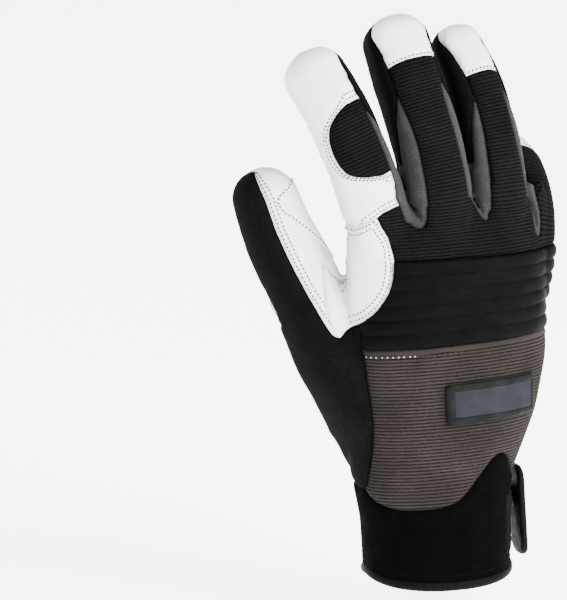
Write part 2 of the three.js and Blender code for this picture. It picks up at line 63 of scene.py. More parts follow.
right = np.array([math.cos(AZIMUTH), math.sin(AZIMUTH), 0])
ahead_flat = np.array([-math.sin(AZIMUTH), math.cos(AZIMUTH), 0])
ahead = math.cos(ELEVATION) * ahead_flat - math.sin(ELEVATION) * np.array([0, 0, 1])
upward = np.cross(right, ahead)
target = MM_PER_PIXEL * (
    right * (PHOTO_WIDTH / 2 - WRIST_PIXEL[0]) + upward * (WRIST_PIXEL[1] - PHOTO_HEIGHT / 2)
)
distance = MM_PER_PIXEL * PHOTO_HEIGHT * LENS / SENSOR - SEEN_DEPTH

camera_data = bpy.data.cameras.new("camera")
camera_data.lens = LENS
camera_data.sensor_width = SENSOR
camera = bpy.data.objects.new("camera", camera_data)
camera.location = Vector((target - ahead * distance) * MM)
camera.rotation_euler = Vector(ahead).to_track_quat("-Z", "Y").to_euler()
bpy.context.collection.objects.link(camera)
bpy.context.scene.camera = camera
print("camera stands", round(distance), "mm from the glove")

# %% [markdown]
# ## The glove's form
# A glove keeps the shape of the hand in it. Its form here is a hand and five digits, each skinned over
# rings like the ribs of a boat. The rings are superellipses: a roundness of 2 is an ellipse, and a larger
# one is squarer.

# %% Sizes of the hand and the digits
HAND_SECTIONS = np.array([
    # height, middle x, middle y, half width, half depth, roundness
    [-40, 1.6, 0, 33.6, 25, 2.2],
    [0, 1.6, 0, 33.6, 25, 2.2],
    [25, 0.6, 0, 34.1, 25, 2.2],
    [45, -1, 0, 37, 24, 2.2],
    [72, 3, 0, 44, 25, 2.3],
    [98, 4.3, 0, 47.3, 25, 2.4],
    [123, 4.2, 0, 46.2, 23, 2.4],
    [146, 5.6, 0, 46.6, 20, 2.4],
    [162, 7, 1, 47, 15, 2.4],
    [173, 7, 2, 44, 9, 2.4],
])
# Each digit's joints give x, y, z, half width and half depth. back points out of its back. nose is the
# length of its round tip. The seams are angles round from its back: where the back's cloth ends and where
# the palm's leather starts.
DIGITS = {
    "thumb": {
        "back": (-0.97, -0.12, 0.2), "nose": 13, "roundness": 2.4,
        "joints": [(-8, 2, 42, 17, 17), (-18.5, 4.5, 57, 23, 18.5), (-25, 7, 72, 25.3, 20),
                   (-41, 10, 101, 20.3, 20), (-54.5, 16, 128, 16, 16.5), (-65.5, 20, 151, 15, 15),
                   (-72, 23, 170, 13.5, 13.6)],
    },
    "index": {
        "back": (0, -1, 0.2), "nose": 12, "roundness": 2.6, "pinky_seam": (35, 116),
        "joints": [(-22, 0, 134, 14, 13), (-28, -2, 162, 14, 13.5), (-36.5, -1, 188, 14, 13.5),
                   (-45, 5, 210, 14, 13.5), (-52, 12, 225, 13.5, 12.5)],
    },
    "middle": {
        "back": (0, -1, 0.2), "nose": 12, "roundness": 2.6,
        "thumb_seam": (46, 124), "pinky_seam": (45, 128),
        "joints": [(0, 0, 134, 14, 13), (0, -4, 164, 14.6, 14.5), (-3.6, 0, 192, 15, 15),
                   (-9, 8, 218, 15, 15), (-13, 16, 237, 14.5, 14)],
    },
    "ring": {
        "back": (0, -1, 0.2), "nose": 12, "roundness": 2.6,
        "thumb_seam": (20, 120), "pinky_seam": (50, 134),
        "joints": [(26, 0, 132, 13.5, 13), (28.5, -1, 162, 13.5, 14), (27, 4, 189, 13.6, 14),
                   (23.4, 13, 213, 13, 13.5), (19, 23, 230, 12, 12.5)],
    },
    "pinky": {
        "back": (0.1, -1, 0.3), "nose": 10, "roundness": 2.5, "thumb_seam": (52, 128),
        "joints": [(41, 2, 122, 11.5, 12), (44.5, 3, 144, 12, 13), (46.5, 9, 161, 12, 12.5),
                   (48.3, 24, 173.5, 11.5, 11.5), (48.8, 38.5, 178, 11, 10.5)],
    },
}
print(len(DIGITS), "digits on a hand of", len(HAND_SECTIONS), "sections")


# %% Curves through the joints
def eased(x, xs, ys, blur):
    """A smooth line through a table: the mean of straight-line readings around x."""
    return np.mean([np.interp(x + shift, xs, ys) for shift in np.linspace(-blur, blur, 9)], axis=0)


def catmull_rom(points, steps):
    """Points along a smooth curve through the given ones, and each one's place counted in joints."""
    points = np.asarray(points, float)
    ends = np.vstack([2 * points[0] - points[1], points, 2 * points[-1] - points[-2]])
    t = np.linspace(0, 1, steps, endpoint=False)[:, None]
    spans = []
    for p0, p1, p2, p3 in zip(ends, ends[1:], ends[2:], ends[3:]):
        straight = 2 * p1 + (p2 - p0) * t
        bent = (2 * p0 - 5 * p1 + 4 * p2 - p3) * t**2
        twisted = (3 * p1 - p0 - 3 * p2 + p3) * t**3
        spans.append(0.5 * (straight + bent + twisted))
    curve = np.vstack([*spans, points[-1:]])
    return curve, np.linspace(0, len(points) - 1, len(curve))


def unit(vectors):
    return vectors / np.linalg.norm(vectors, axis=-1, keepdims=True)


def length_of(digit):
    """Millimetres from a digit's root to its very tip."""
    return digit["along"][-1] + digit["nose"]


STEPS_A_JOINT = 36
for digit in DIGITS.values():
    joints = np.array(digit["joints"], float)
    middle, place = catmull_rom(joints[:, :3], STEPS_A_JOINT)
    axis = unit(np.gradient(middle, axis=0))
    back = np.array(digit["back"]) - (axis @ np.array(digit["back"]))[:, None] * axis
    digit["middle"] = middle
    digit["axis"] = axis
    digit["back_way"] = unit(back)
    digit["side_way"] = np.cross(axis, unit(back))
    digit["along"] = np.concatenate([[0], np.cumsum(np.linalg.norm(np.diff(middle, axis=0), axis=1))])
    digit["half_width"] = np.interp(place, np.arange(len(joints)), joints[:, 3])
    digit["half_depth"] = np.interp(place, np.arange(len(joints)), joints[:, 4])
print("middle finger:", round(length_of(DIGITS["middle"])), "mm from root to tip")


# %% Skin the rings
def signed_power(value, power):
    return np.sign(value) * np.abs(value) ** power


def superellipse(middle, back, side, half_width, half_depth, roundness, count):
    angle = np.linspace(0, 2 * math.pi, count, endpoint=False)[:, None]
    return (
        middle
        + back * half_depth * signed_power(np.cos(angle), 2 / roundness)
        + side * half_width * signed_power(np.sin(angle), 2 / roundness)
    )


def skin(rings):
    """The corners and faces of a closed tube over rings with the same number of points."""
    count = len(rings[0])
    last = (len(rings) - 1) * count
    faces = [
        (start + k, start + (k + 1) % count, start + count + (k + 1) % count, start + count + k)
        for start in range(0, last, count)
        for k in range(count)
    ]
    faces.append(tuple(range(count))[::-1])
    faces.append(tuple(range(last, last + count)))
    return np.vstack(rings), faces


HAND_RINGS, HAND_SIDES = 54, 72
DIGIT_SIDES, STEPS_A_RING = 36, 4
NOSE_ANGLES = np.radians([12, 24, 36, 48, 60, 70, 79, 86])  # the rings that round a fingertip off
OUT_OF_BACK, TO_THE_PINKY = np.array([0, -1, 0]), np.array([1, 0, 0])


def hand_at(height):
    """The hand's section at a height: middle x and y, half width, half depth and roundness."""
    return [eased(height, HAND_SECTIONS[:, 0], column, 5) for column in HAND_SECTIONS.T[1:]]


def digit_ring(digit, step, middle, share=1.0):
    """A ring round a digit, made smaller by its share where the tip closes."""
    return superellipse(
        middle, digit["back_way"][step], digit["side_way"][step], digit["half_width"][step] * share,
        digit["half_depth"][step] * share, digit["roundness"], DIGIT_SIDES
    )


hand_rings = []
for height in np.linspace(HAND_SECTIONS[0, 0], HAND_SECTIONS[-1, 0], HAND_RINGS):
    x, y, *form = hand_at(height)
    hand_rings.append(superellipse(np.array([x, y, height]), OUT_OF_BACK, TO_THE_PINKY, *form, HAND_SIDES))
tubes = [skin(hand_rings)]
for digit in DIGITS.values():
    middle = digit["middle"]
    rings = [digit_ring(digit, step, middle[step]) for step in range(0, len(middle), STEPS_A_RING)]
    for angle in NOSE_ANGLES:
        tip = middle[-1] + digit["axis"][-1] * digit["nose"] * math.sin(angle)
        rings.append(digit_ring(digit, -1, tip, math.cos(angle)))
    tubes.append(skin(rings))
print(len(tubes), "tubes to melt together")

# %% [markdown]
# ## One smooth surface
# A voxel remesh melts the tubes into one skin with even faces, and it rounds the webs between the
# fingers. Sculpting would do the same by hand. Here the surface stays as plain arrays, so that the panels
# can be cut from it exactly.

# %% Melt the tubes into one skin
VOXEL = 0.95


def new_object(name, points, faces):
    mesh = bpy.data.meshes.new(name)
    mesh.from_pydata([tuple(p) for p in np.asarray(points) * MM], [], faces)
    mesh.validate()
    made = bpy.data.objects.new(name, mesh)
    bpy.context.collection.objects.link(made)
    return made


def finish_with(made, material):
    """Gives an object its material and round shading."""
    made.data.materials.append(material)
    made.data.polygons.foreach_set("use_smooth", [True] * len(made.data.polygons))


points, faces = [], []
for tube_points, tube_faces in tubes:
    start = sum(len(p) for p in points)
    points.append(tube_points)
    faces += [tuple(start + k for k in face) for face in tube_faces]
rough = new_object("rough_form", np.vstack(points), faces)
remesh = rough.modifiers.new("melt", "REMESH")
remesh.mode = "VOXEL"
remesh.voxel_size = VOXEL * MM
melted = rough.evaluated_get(bpy.context.evaluated_depsgraph_get()).to_mesh()
melted.calc_loop_triangles()
skin_points = np.empty(len(melted.vertices) * 3)
melted.vertices.foreach_get("co", skin_points)
skin_points = skin_points.reshape(-1, 3) / MM
skin_faces = np.empty(len(melted.loop_triangles) * 3, int)
melted.loop_triangles.foreach_get("vertices", skin_faces)
skin_faces = skin_faces.reshape(-1, 3)
bpy.data.objects.remove(rough)
print(len(skin_points), "points,", len(skin_faces), "triangles")


# %% Smooth it without shrinking it
def sides_of(triangles):
    """The three sides of every triangle, each with its lower point first."""
    return np.sort(np.vstack([triangles[:, [0, 1]], triangles[:, [1, 2]], triangles[:, [2, 0]]]), axis=1)


def edges_of(triangles):
    return np.unique(sides_of(triangles), axis=0)


def relax(values, edges, rounds, pull=0.5, push=-0.53):
    """Taubin smoothing: pulls a point towards its neighbours' mean, then pushes it back a little."""
    count = np.bincount(edges.ravel(), minlength=len(values))[:, None]
    for step in range(rounds * 2):
        total = np.zeros_like(values)
        np.add.at(total, edges[:, 0], values[edges[:, 1]])
        np.add.at(total, edges[:, 1], values[edges[:, 0]])
        values = values + (pull if step % 2 == 0 else push) * (total / count - values)
    return values


def normals_of(points, triangles):
    a, b, c = (points[triangles[:, k]] for k in range(3))
    face_normals = np.cross(b - a, c - a)
    total = np.zeros_like(points)
    for k in range(3):
        np.add.at(total, triangles[:, k], face_normals)
    return unit(total)


SMOOTHING_ROUNDS = 14
skin_edges = edges_of(skin_faces)
skin_points = relax(skin_points, skin_edges, SMOOTHING_ROUNDS)
skin_normals = unit(relax(normals_of(skin_points, skin_faces), skin_edges, 2, push=0.3))
print("top of the middle finger is at", round(skin_points[:, 2].max(), 1), "mm")

# %% [markdown]
# ## Where a point lies on a digit
# A maker marks a finger's panels by the distance from its tip and by how far round the finger they reach.
# The same two measures are taken here for every point of the skin, against every digit's curve.

# %% Measure every point against every digit
POINTS_AT_ONCE = 20000  # a larger batch would need too much memory


def nearest_step(middle, points):
    steps = []
    for start in range(0, len(points), POINTS_AT_ONCE):
        batch = points[start:start + POINTS_AT_ONCE]
        steps.append(np.argmin(((batch[:, None] - middle[None]) ** 2).sum(axis=2), axis=1))
    return np.concatenate(steps)


def measure(digit, points):
    """Each point's distance from the fingertip, its angle round the digit, and how far outside it lies."""
    step = nearest_step(digit["middle"], points)
    offset = points - digit["middle"][step]
    dot = lambda way: (offset * digit[way][step]).sum(axis=1)
    from_tip = length_of(digit) - digit["along"][step] - dot("axis")
    across = dot("side_way") / digit["half_width"][step]
    out = dot("back_way") / digit["half_depth"][step]
    half = digit["roundness"] / 2
    angle = np.degrees(np.arctan2(signed_power(across, half), signed_power(out, half)))
    round_size = (np.abs(across) ** (2 * half) + np.abs(out) ** (2 * half)) ** (0.5 / half)
    return from_tip, angle, (round_size - 1) * digit["half_width"][step]


X, Y, Z = skin_points.T
on = {name: measure(digit, skin_points) for name, digit in DIGITS.items()}
outside = {name: on[name][2] for name in DIGITS}
own = {}
for name in DIGITS:
    rivals = [outside[other] for other in DIGITS if other != name]
    own[name] = np.minimum(np.min(rivals, axis=0) - outside[name], 3 - outside[name])
print({name: int((own[name] > 0).sum()) for name in DIGITS}, "points on each digit")

# %% [markdown]
# ## The pattern
# Each panel is a smooth field over the skin: the distance to the panel's edge in millimetres, positive
# inside it. Fields are easy to add and to round off, and the same numbers later place the seams, the
# stitches and the padding.

# %% Tools that draw panels
MM_PER_DEGREE = 0.24  # round a digit


def shared(*fields):
    return np.min(fields, axis=0)


def joined(*fields, soft=1.0):
    """Two regions made one, with a rounded corner where they meet."""
    most = np.max(fields, axis=0)
    return most + soft * np.log(np.sum([np.exp((field - most) / soft) for field in fields], axis=0))


def between_angles(angle, low, high):
    turned = (angle - (low + high) / 2 + 180) % 360 - 180
    return ((high - low) / 2 - np.abs(turned)) * MM_PER_DEGREE


def band(name, stations, lows, highs, ends):
    """A region on a digit between two angles, which change smoothly with the distance from the tip."""
    from_tip, angle, _ = on[name]
    field = between_angles(angle, eased(from_tip, stations, lows, 3), eased(from_tip, stations, highs, 3))
    return shared(field, from_tip - ends[0], ends[1] - from_tip, own[name])


def signed_distance(outline, x, z):
    """Distance to a closed outline, positive inside it."""
    nearest = np.full(len(x), 1e9)
    inside = np.zeros(len(x), bool)
    for (ax, az), (bx, bz) in zip(outline, np.roll(outline, -1, axis=0)):
        length2 = (bx - ax) ** 2 + (bz - az) ** 2
        t = np.clip(((x - ax) * (bx - ax) + (z - az) * (bz - az)) / length2, 0, 1)
        nearest = np.minimum(nearest, np.hypot(x - ax - t * (bx - ax), z - az - t * (bz - az)))
        crosses = (az > z) != (bz > z)
        inside ^= crosses & (x < ax + (z - az) * (bx - ax) / (bz - az if bz != az else 1e-9))
    return np.where(inside, nearest, -nearest)


def drawn(outline, rounding=1.5):
    """A region seen from the back of the hand, with its corners rounded."""
    corners = np.array(outline, float)
    readings = []
    for turn in np.radians(np.arange(0, 360, 60)):
        shifted_x, shifted_z = X + rounding * math.cos(turn), Z + rounding * math.sin(turn)
        readings.append(signed_distance(corners, shifted_x, shifted_z))
    return np.mean(readings, axis=0)


def closed_curve(outline):
    """A smooth closed line through a few points."""
    points = np.array(outline, float)
    steps = 6
    curve, _ = catmull_rom(np.vstack([points[-1:], points, points[:2]]), steps)
    return curve[steps:-steps - 1]


print("a degree round a digit is", MM_PER_DEGREE, "mm")

# %% [markdown]
# ### Between the fingers
# Two strips run up each side of a finger. The back's cloth ends at the first seam and the palm's leather
# starts at the second one. A black strip, the fourchette, fills the space between, and a grey suede
# gusset covers its root.

# %% Seams up the sides of the fingers
CLOSING_FROM_TIP = [-3, 5, 14, 28, 200]
CLOSING_SHARE = [0.04, 0.45, 0.85, 1, 1]
TO_PINKY, TO_THUMB = 1, -1
NO_SEAM = 95.0  # beyond the back's cloth, on a side without a strip


def seam(name, side, edge):
    """The angle of a finger's seam at every point: the two seams close on each other at the tip."""
    angles = DIGITS[name].get("pinky_seam" if side == TO_PINKY else "thumb_seam")
    if angles is None:
        return np.full(len(X), NO_SEAM)
    share = eased(on[name][0], CLOSING_FROM_TIP, CLOSING_SHARE, 3)
    return 90 + (angles[edge] - 90) * share


def side_strip(name, side, near, far, ends):
    """A region on one side of a finger, between two angles given at every point."""
    from_tip, angle, _ = on[name]
    turned = side * angle
    field = shared(turned - near, far - turned) * MM_PER_DEGREE
    return shared(field, from_tip - ends[0], ends[1] - from_tip, own[name])


GUSSET_FROM_TIP = [34, 38, 48, 60, 84]
GUSSET_REACH = {  # degrees that each arm reaches down the finger's side
    "index": [-4, 14, 34, 42, 46],
    "middle": [-4, 3, 26, 38, 46],
    "ring": [-4, 3, 26, 38, 46],
    "pinky": [-10] * 5,  # below nought there is no arm
}
GUSSET_ON_BACK = {  # degrees further onto the back than the strip's own seam
    ("middle", TO_THUMB): [0, 2, 9, 13, 9],
    ("middle", TO_PINKY): [4, 9, 12, 9, 0],
    ("ring", TO_THUMB): [0, 0, 0, -2, -8],
    ("ring", TO_PINKY): [4, 9, 12, 10, -20],
}
CROTCHES = {  # web is where the skin turns between two fingers; x and z are seen from the back of the hand
    "index_middle": {
        "fingers": ("index", "middle"),
        "web": (-14.8, 176),
        "fold": [(-11.5, 162), (-15.9, 170), (-18, 180), (-19, 187)],
        "root": [(-21.5, 170), (-19.3, 165.5), (-17.3, 162), (-15, 159.7), (-12.8, 158.7), (-11.1, 159.6),
                 (-10.4, 162.5), (-10.5, 168), (-11.2, 175), (-12.6, 182), (-20, 184), (-23.5, 176)],
    },
    "middle_ring": {
        "fingers": ("middle", "ring"),
        "web": (15.6, 176),
        "fold": [(18.5, 162), (15.3, 169.5), (13.6, 180)],
        "root": [(11.6, 180), (13, 173), (14.8, 167), (17, 162), (18.8, 160.3), (20, 161.4),
                 (20.2, 168), (19.8, 178), (19, 184), (13, 184)],
    },
    "ring_pinky": {
        "fingers": ("ring", "pinky"),
        "web": (40, 170),
        "fold": [(45.4, 152.5), (44.4, 160), (42, 170)],
        "root": [(41.6, 170), (42.3, 164), (43, 156), (44.2, 151.8), (45.5, 150.8), (46.6, 152.6),
                 (46.9, 160), (46.2, 168), (45.4, 175), (43.5, 181), (40, 181)],
    },
}
STRIP_END = {"index": 74, "middle": 74, "ring": 74, "pinky": 58}  # where a black strip stops, from the tip
BRIDGE = [(-6.5, -7), (6.5, -7), (6.5, 6), (-6.5, 6)]  # black between two strips, round the web
panels = {}
for crotch_name, crotch in CROTCHES.items():
    arms, strips = [], []
    for name, side in zip(crotch["fingers"], (TO_PINKY, TO_THUMB)):
        from_tip = on[name][0]
        near = seam(name, side, 0)
        far = near + eased(from_tip, GUSSET_FROM_TIP, GUSSET_REACH[name], 3)
        onto_back = eased(from_tip, GUSSET_FROM_TIP, GUSSET_ON_BACK.get((name, side), [0] * 5), 3)
        arms.append(side_strip(name, side, near - onto_back, far, (36, 84)))
        strips.append(side_strip(name, side, near, seam(name, side, 1), (-9, STRIP_END[name])))
    root = signed_distance(closed_curve(crotch["root"]), X, Z)
    bridge = drawn(np.array(crotch["web"]) + BRIDGE)
    panels["gusset_" + crotch_name] = joined(*arms, shared(root, 3 - Y), soft=0.7)
    panels["fourchette_" + crotch_name] = joined(*strips, shared(bridge, Y + 7, 11 - Y))
print(len(panels), "panels between the fingers")

# %% [markdown]
# ### Leather and cloth on the fingers
# Three fingertips have a leather cap on the back. The index finger is leather all round, with an oval of
# ribbed cloth over its knuckle so that it can bend. The thumb has black fleece on its back, to wipe a
# nose with.

# %% Caps, knuckle oval and thumb
UNDER_SEAM = 8  # degrees that the back reaches under the side strips, which are cut first


def finger_back(name, ends):
    from_tip, angle, _ = on[name]
    to_thumb = angle + seam(name, TO_THUMB, 0) + UNDER_SEAM
    to_pinky = seam(name, TO_PINKY, 0) + UNDER_SEAM - angle
    width = shared(to_thumb, to_pinky) * MM_PER_DEGREE
    return shared(width, from_tip - ends[0], ends[1] - from_tip, own[name])


CAP_LENGTHS = {"middle": 24, "ring": 28, "pinky": 21}
CAP_ARCH = 2.2  # millimetres that a cap's edge rises in its middle
CAP_OVER_TIP = 2.2  # how far down from the very tip it reaches on the palm side
FINGER_START = -9  # a little beyond the tip
for name, length in CAP_LENGTHS.items():
    arch = CAP_ARCH * np.cos(np.radians(np.clip(on[name][1] * 1.3, -90, 90)))
    over_tip = shared(CAP_OVER_TIP - on[name][0], own[name])
    panels[name + "_cap"] = joined(finger_back(name, (FINGER_START, length + 1.2 - arch)), over_tip, soft=0.5)

OVAL_FROM_TIP = [28, 29.5, 33, 39, 46, 53, 58.5, 61, 62]
OVAL_ROUND_SIDE = [20, 4, -30, -57, -66, -60, -36, 12, 30]
OVAL_STRAIGHT_SIDE = [43] * len(OVAL_FROM_TIP)
panels["index_knuckle_oval"] = band("index", OVAL_FROM_TIP, OVAL_ROUND_SIDE, OVAL_STRAIGHT_SIDE, (29.5, 61.5))
WEB_LENS = [(-48.5, 111.2), (-44.5, 113.6), (-40, 116.6), (-35.2, 121), (-30.9, 126.5), (-27.5, 133),
            (-25.8, 141), (-25.8, 148.5), (-27.4, 154.5), (-30.8, 160), (-34.6, 164.6), (-44, 157),
            (-50, 142), (-52, 122)]
panels["web_patch"] = shared(signed_distance(closed_curve(WEB_LENS), X, Z), 5 - Y)
print("caps reach down", CAP_LENGTHS)

# %% [markdown]
# ### The hand
# From the thumb's back the black fleece runs down the edge of the hand. The guard, the ribbed back, the
# grey panel and the cuff cross the back of the hand, and the palm takes what is left, in one piece of
# leather.

# %% Panels across the hand
GUARD_LOW, GUARD_SLOPE, GUARD_HIGH = 107, 0.04, 145
PINKY_EDGE_Y = 2
FAR_OUT = 90  # beyond the glove's outline


def guard_low_at(x):
    """The height of the guard's lower edge, which slopes a little."""
    return GUARD_LOW + GUARD_SLOPE * x


corner = lambda x: (x, guard_low_at(x))
THUMB_FROM_TIP = [-3, 12, 30, 46, 59, 72, 84]
FLEECE_TO_FINGERS = [-56, -64, -58, -42, -25, -20, -30]
FLEECE_TO_PALM = [60, 66, 65, 64, 63, 62, 66]
thumb_back = band("thumb", THUMB_FROM_TIP, FLEECE_TO_FINGERS, FLEECE_TO_PALM, (FINGER_START, 84))
EDGE_BACK = [(-FAR_OUT, 40), (-35.8, 40), (-35.3, 48), (-34.4, 60), (-34.6, 70), (-35.6, 81), (-37, 90),
             corner(-38.8), (-38.8, 112), (-38.8, 118), (-46, 113.5), (-47.6, 110.3), (-51.5, 111.6),
             (-56, 114.8), (-60.8, 119.4), (-67, 127), (-FAR_OUT, 127)]
EDGE_PALM = [(-FAR_OUT, 42), (-23, 42), (-32, 60), (-41, 80), (-50, 100), (-56, 112), (-FAR_OUT, 112)]
panels["edge_panel"] = joined(
    thumb_back, shared(drawn(EDGE_BACK, 2), 0.5 - Y), shared(drawn(EDGE_PALM, 3), Y + 0.5), soft=0.6
)
GUARD_OUTLINE = [corner(-46), corner(80), (80, GUARD_HIGH), (-46, GUARD_HIGH)]
panels["knuckle_guard"] = shared(drawn(GUARD_OUTLINE, 0.5), PINKY_EDGE_Y - Y)
BACK_OUTLINE = [(-30, GUARD_HIGH), (80, GUARD_HIGH), (80, 174), (-14, 174), (-20.5, 169.9), (-26.3, 168.5),
                (-31, 166.7), (-36, 162.8), (-30, 156)]
finger_backs = [finger_back(name, (9, 84)) for name in CAP_LENGTHS]
panels["back_panel"] = joined(shared(drawn(BACK_OUTLINE, 1), PINKY_EDGE_Y - Y), *finger_backs, soft=0.6)
GREY_OUTLINE = [(-36.2, 43), (-35.6, 39.6), (-33.4, 36.4), (-29.8, 34.4), (-23.9, 33), (-12, 33.2),
                (-3.7, 34), (2.1, 35.8), (6.9, 39.5), (11.6, 44.8), (16.4, 50.1), (19.9, 53.9),
                (22.9, 55.7), (25.9, 55.7), (28.6, 53.2), (30.8, 48.6), (34, 44.5), (39, 42.5),
                (80, 42), corner(80), corner(-60), (-60, 43)]
panels["grey_panel"] = shared(drawn(GREY_OUTLINE, 2), PINKY_EDGE_Y - Y)
CUFF_BACK = [(-FAR_OUT, -60), (FAR_OUT, -60), (FAR_OUT, 60), (-FAR_OUT, 60)]
CUFF_PALM = [(-FAR_OUT, -60), (FAR_OUT, -60), (FAR_OUT, 36), (-20, 36), (-24, 42), (-FAR_OUT, 42)]
panels["cuff"] = joined(
    shared(drawn(CUFF_BACK, 1), PINKY_EDGE_Y - Y), shared(drawn(CUFF_PALM, 2), Y), soft=0.5
)
panels["palm_leather"] = np.full(len(X), 99.0)
print(len(panels), "panels")


# %% The hem
BACK_DIP, TONGUE_X, TONGUE_DROP = 4.4, -9, 13.5
TONGUE_SPREAD = {"thumb side": 14, "little finger's side": 24}
CLOTH_STARTS = 2  # above the hem, under the tape


def hem_z(x, y):
    """The cuff's lower edge: a small dip at the back and a rounded tongue at the palm."""
    out = y / HAND_SECTIONS[0, 4]
    spread = np.where(x < TONGUE_X, *TONGUE_SPREAD.values())
    tongue = TONGUE_DROP * out * np.exp(-(((x - TONGUE_X) / spread) ** 2))
    return np.where(out < 0, BACK_DIP * out, -tongue)


panels["above_hem"] = Z - hem_z(X, Y) - CLOTH_STARTS
tongue_z = float(hem_z(TONGUE_X, HAND_SECTIONS[0, 4]))
print("the hem hangs", round(-tongue_z, 1), "mm below the wrist at the palm")

# %% [markdown]
# ## Cutting the skin
# A knife would follow the chalk line, not the nearest mesh edges, so the cut splits each triangle where
# the field is zero. Every field is carried along to the new points, so later cuts and stitch lines stay
# exact.

# %% The knife
SNAP = 0.12  # a corner this close to the line counts as on it, which avoids slivers
panels["upper_layer"] = np.zeros(len(X))  # a spare field for the layers sewn on top
FIELD_NAMES = list(panels)
COLUMN = {name: k for k, name in enumerate(FIELD_NAMES)}


def cut(cloth, field_name):
    """Splits cloth in two along a field: what is inside it and what is left."""
    points, normals, data, triangles = cloth
    field = data[:, COLUMN[field_name]].copy()
    field[np.abs(field) < SNAP] = 0
    side = np.sign(field)
    corners = side[triangles]
    touched = (corners.max(axis=1) > 0) & (corners.min(axis=1) < 0)
    inside = triangles[~touched & (corners.sum(axis=1) > 0)]
    outside_part = triangles[~touched & (corners.sum(axis=1) <= 0)]
    crossing = triangles[touched]
    pairs = edges_of(crossing)
    pairs = pairs[side[pairs[:, 0]] * side[pairs[:, 1]] < 0]
    share = (field[pairs[:, 0]] / (field[pairs[:, 0]] - field[pairs[:, 1]]))[:, None]
    blend = lambda values: values[pairs[:, 0]] * (1 - share) + values[pairs[:, 1]] * share
    new_data = blend(data)
    new_data[:, COLUMN[field_name]] = 0
    middle_of = {(int(a), int(b)): len(points) + k for k, (a, b) in enumerate(pairs)}
    points = np.vstack([points, blend(points)])
    normals = unit(np.vstack([normals, blend(normals)]))
    data = np.vstack([data, new_data])
    made = {1: [], -1: []}
    for triangle in crossing:
        rim = []
        for k in range(3):
            a, b = int(triangle[k]), int(triangle[(k + 1) % 3])
            rim.append((a, side[a]))
            between = middle_of.get((min(a, b), max(a, b)))
            if between is not None:
                rim.append((between, 0))
        for way in (1, -1):
            kept = [index for index, at in rim if at == way or at == 0]
            made[way] += [(kept[0], kept[k], kept[k + 1]) for k in range(1, len(kept) - 1)]
    parts = []
    for whole, way in ((inside, 1), (outside_part, -1)):
        faces = np.vstack([whole, np.array(made[way], int).reshape(-1, 3)])
        used, faces = np.unique(faces, return_inverse=True)
        parts.append((points[used], normals[used], data[used], faces.reshape(-1, 3)))
    return parts


whole_skin = (skin_points, skin_normals, np.column_stack([panels[name] for name in FIELD_NAMES]), skin_faces)
cloth, _ = cut(whole_skin, "above_hem")
pieces = {}
for name in FIELD_NAMES:
    if name not in ("above_hem", "palm_leather", "upper_layer"):
        pieces[name], cloth = cut(cloth, name)
pieces["palm_leather"] = cloth
print({name: len(piece[3]) for name, piece in pieces.items()}, "triangles")

# %% [markdown]
# ## From flat panel to sewn cloth
# Sewn cloth dips at each seam, because the allowance is folded under and the thread pulls it in. Each
# panel gets a height over the skin from its distance to its own edge, and then a thickness. Modelling
# each fold by hand would be finer, but a rule in millimetres keeps all the seams alike.

# %% Tools for cloth
def refine(cloth, near):
    """Halves the edges where near is true for both ends, and splits the triangles to match."""
    points, normals, data, triangles = cloth
    edges = edges_of(triangles)
    edges = edges[near[edges[:, 0]] & near[edges[:, 1]]]
    keys = edges[:, 0] * len(points) + edges[:, 1]
    new = lambda values: (values[edges[:, 0]] + values[edges[:, 1]]) / 2
    count = len(points)

    def between(a, b):
        key = np.minimum(a, b) * count + np.maximum(a, b)
        found = np.clip(np.searchsorted(keys, key), 0, len(keys) - 1)
        return np.where(keys[found] == key, count + found, -1)

    a, b, c = triangles.T
    ab, bc, ca = between(a, b), between(b, c), between(c, a)
    halved = (ab >= 0).astype(int) + (bc >= 0) + (ca >= 0)
    made = [triangles[halved == 0]]
    k = halved == 3
    for corner_set in ((a, ab, ca), (ab, b, bc), (ca, bc, c), (ab, bc, ca)):
        made.append(np.column_stack([column[k] for column in corner_set]))
    turned_round = [((a, b, c), (ab, bc, ca)), ((b, c, a), (bc, ca, ab)), ((c, a, b), (ca, ab, bc))]
    for (p, q, r), (pq, qr, rp) in turned_round:
        k = (halved == 1) & (pq >= 0)
        made += [np.column_stack([p[k], pq[k], r[k]]), np.column_stack([pq[k], q[k], r[k]])]
        k = (halved == 2) & (rp < 0)
        made += [np.column_stack([p[k], pq[k], r[k]]), np.column_stack([pq[k], q[k], qr[k]]),
                 np.column_stack([pq[k], qr[k], r[k]])]
    return (np.vstack([points, new(points)]), unit(np.vstack([normals, new(normals)])),
            np.vstack([data, new(data)]), np.vstack(made))


def distance_finder(marks):
    """A function that gives each point's distance to the nearest of the marks."""
    tree = kdtree.KDTree(len(marks))
    for k, mark in enumerate(marks):
        tree.insert(mark, k)
    tree.balance()
    return lambda points: np.array([tree.find(point)[2] for point in points])


def distance_to_rim(points, triangles):
    edges, uses = np.unique(sides_of(triangles), axis=0, return_counts=True)
    rim = edges[uses == 1]
    marks = [points[rim[:, 0]] * (1 - share) + points[rim[:, 1]] * share for share in (0, 0.33, 0.67)]
    return distance_finder(np.vstack(marks))(points)


def step_up(x, low, high):
    t = np.clip((x - low) / (high - low), 0, 1)
    return t * t * (3 - 2 * t)


def ripple(points, size, seed, waves=14):
    """Soft noise from -1 to 1 with bumps of about the given size in millimetres."""
    luck = np.random.default_rng(seed)
    total = np.zeros(len(points))
    for _ in range(waves):
        way = unit(luck.normal(size=3)) * 2 * math.pi / (size * luck.uniform(1.3, 3.0))
        total += np.sin(points @ way + luck.uniform(0, 2 * math.pi))
    return total / math.sqrt(waves)


print("tools ready for", len(pieces), "panels")


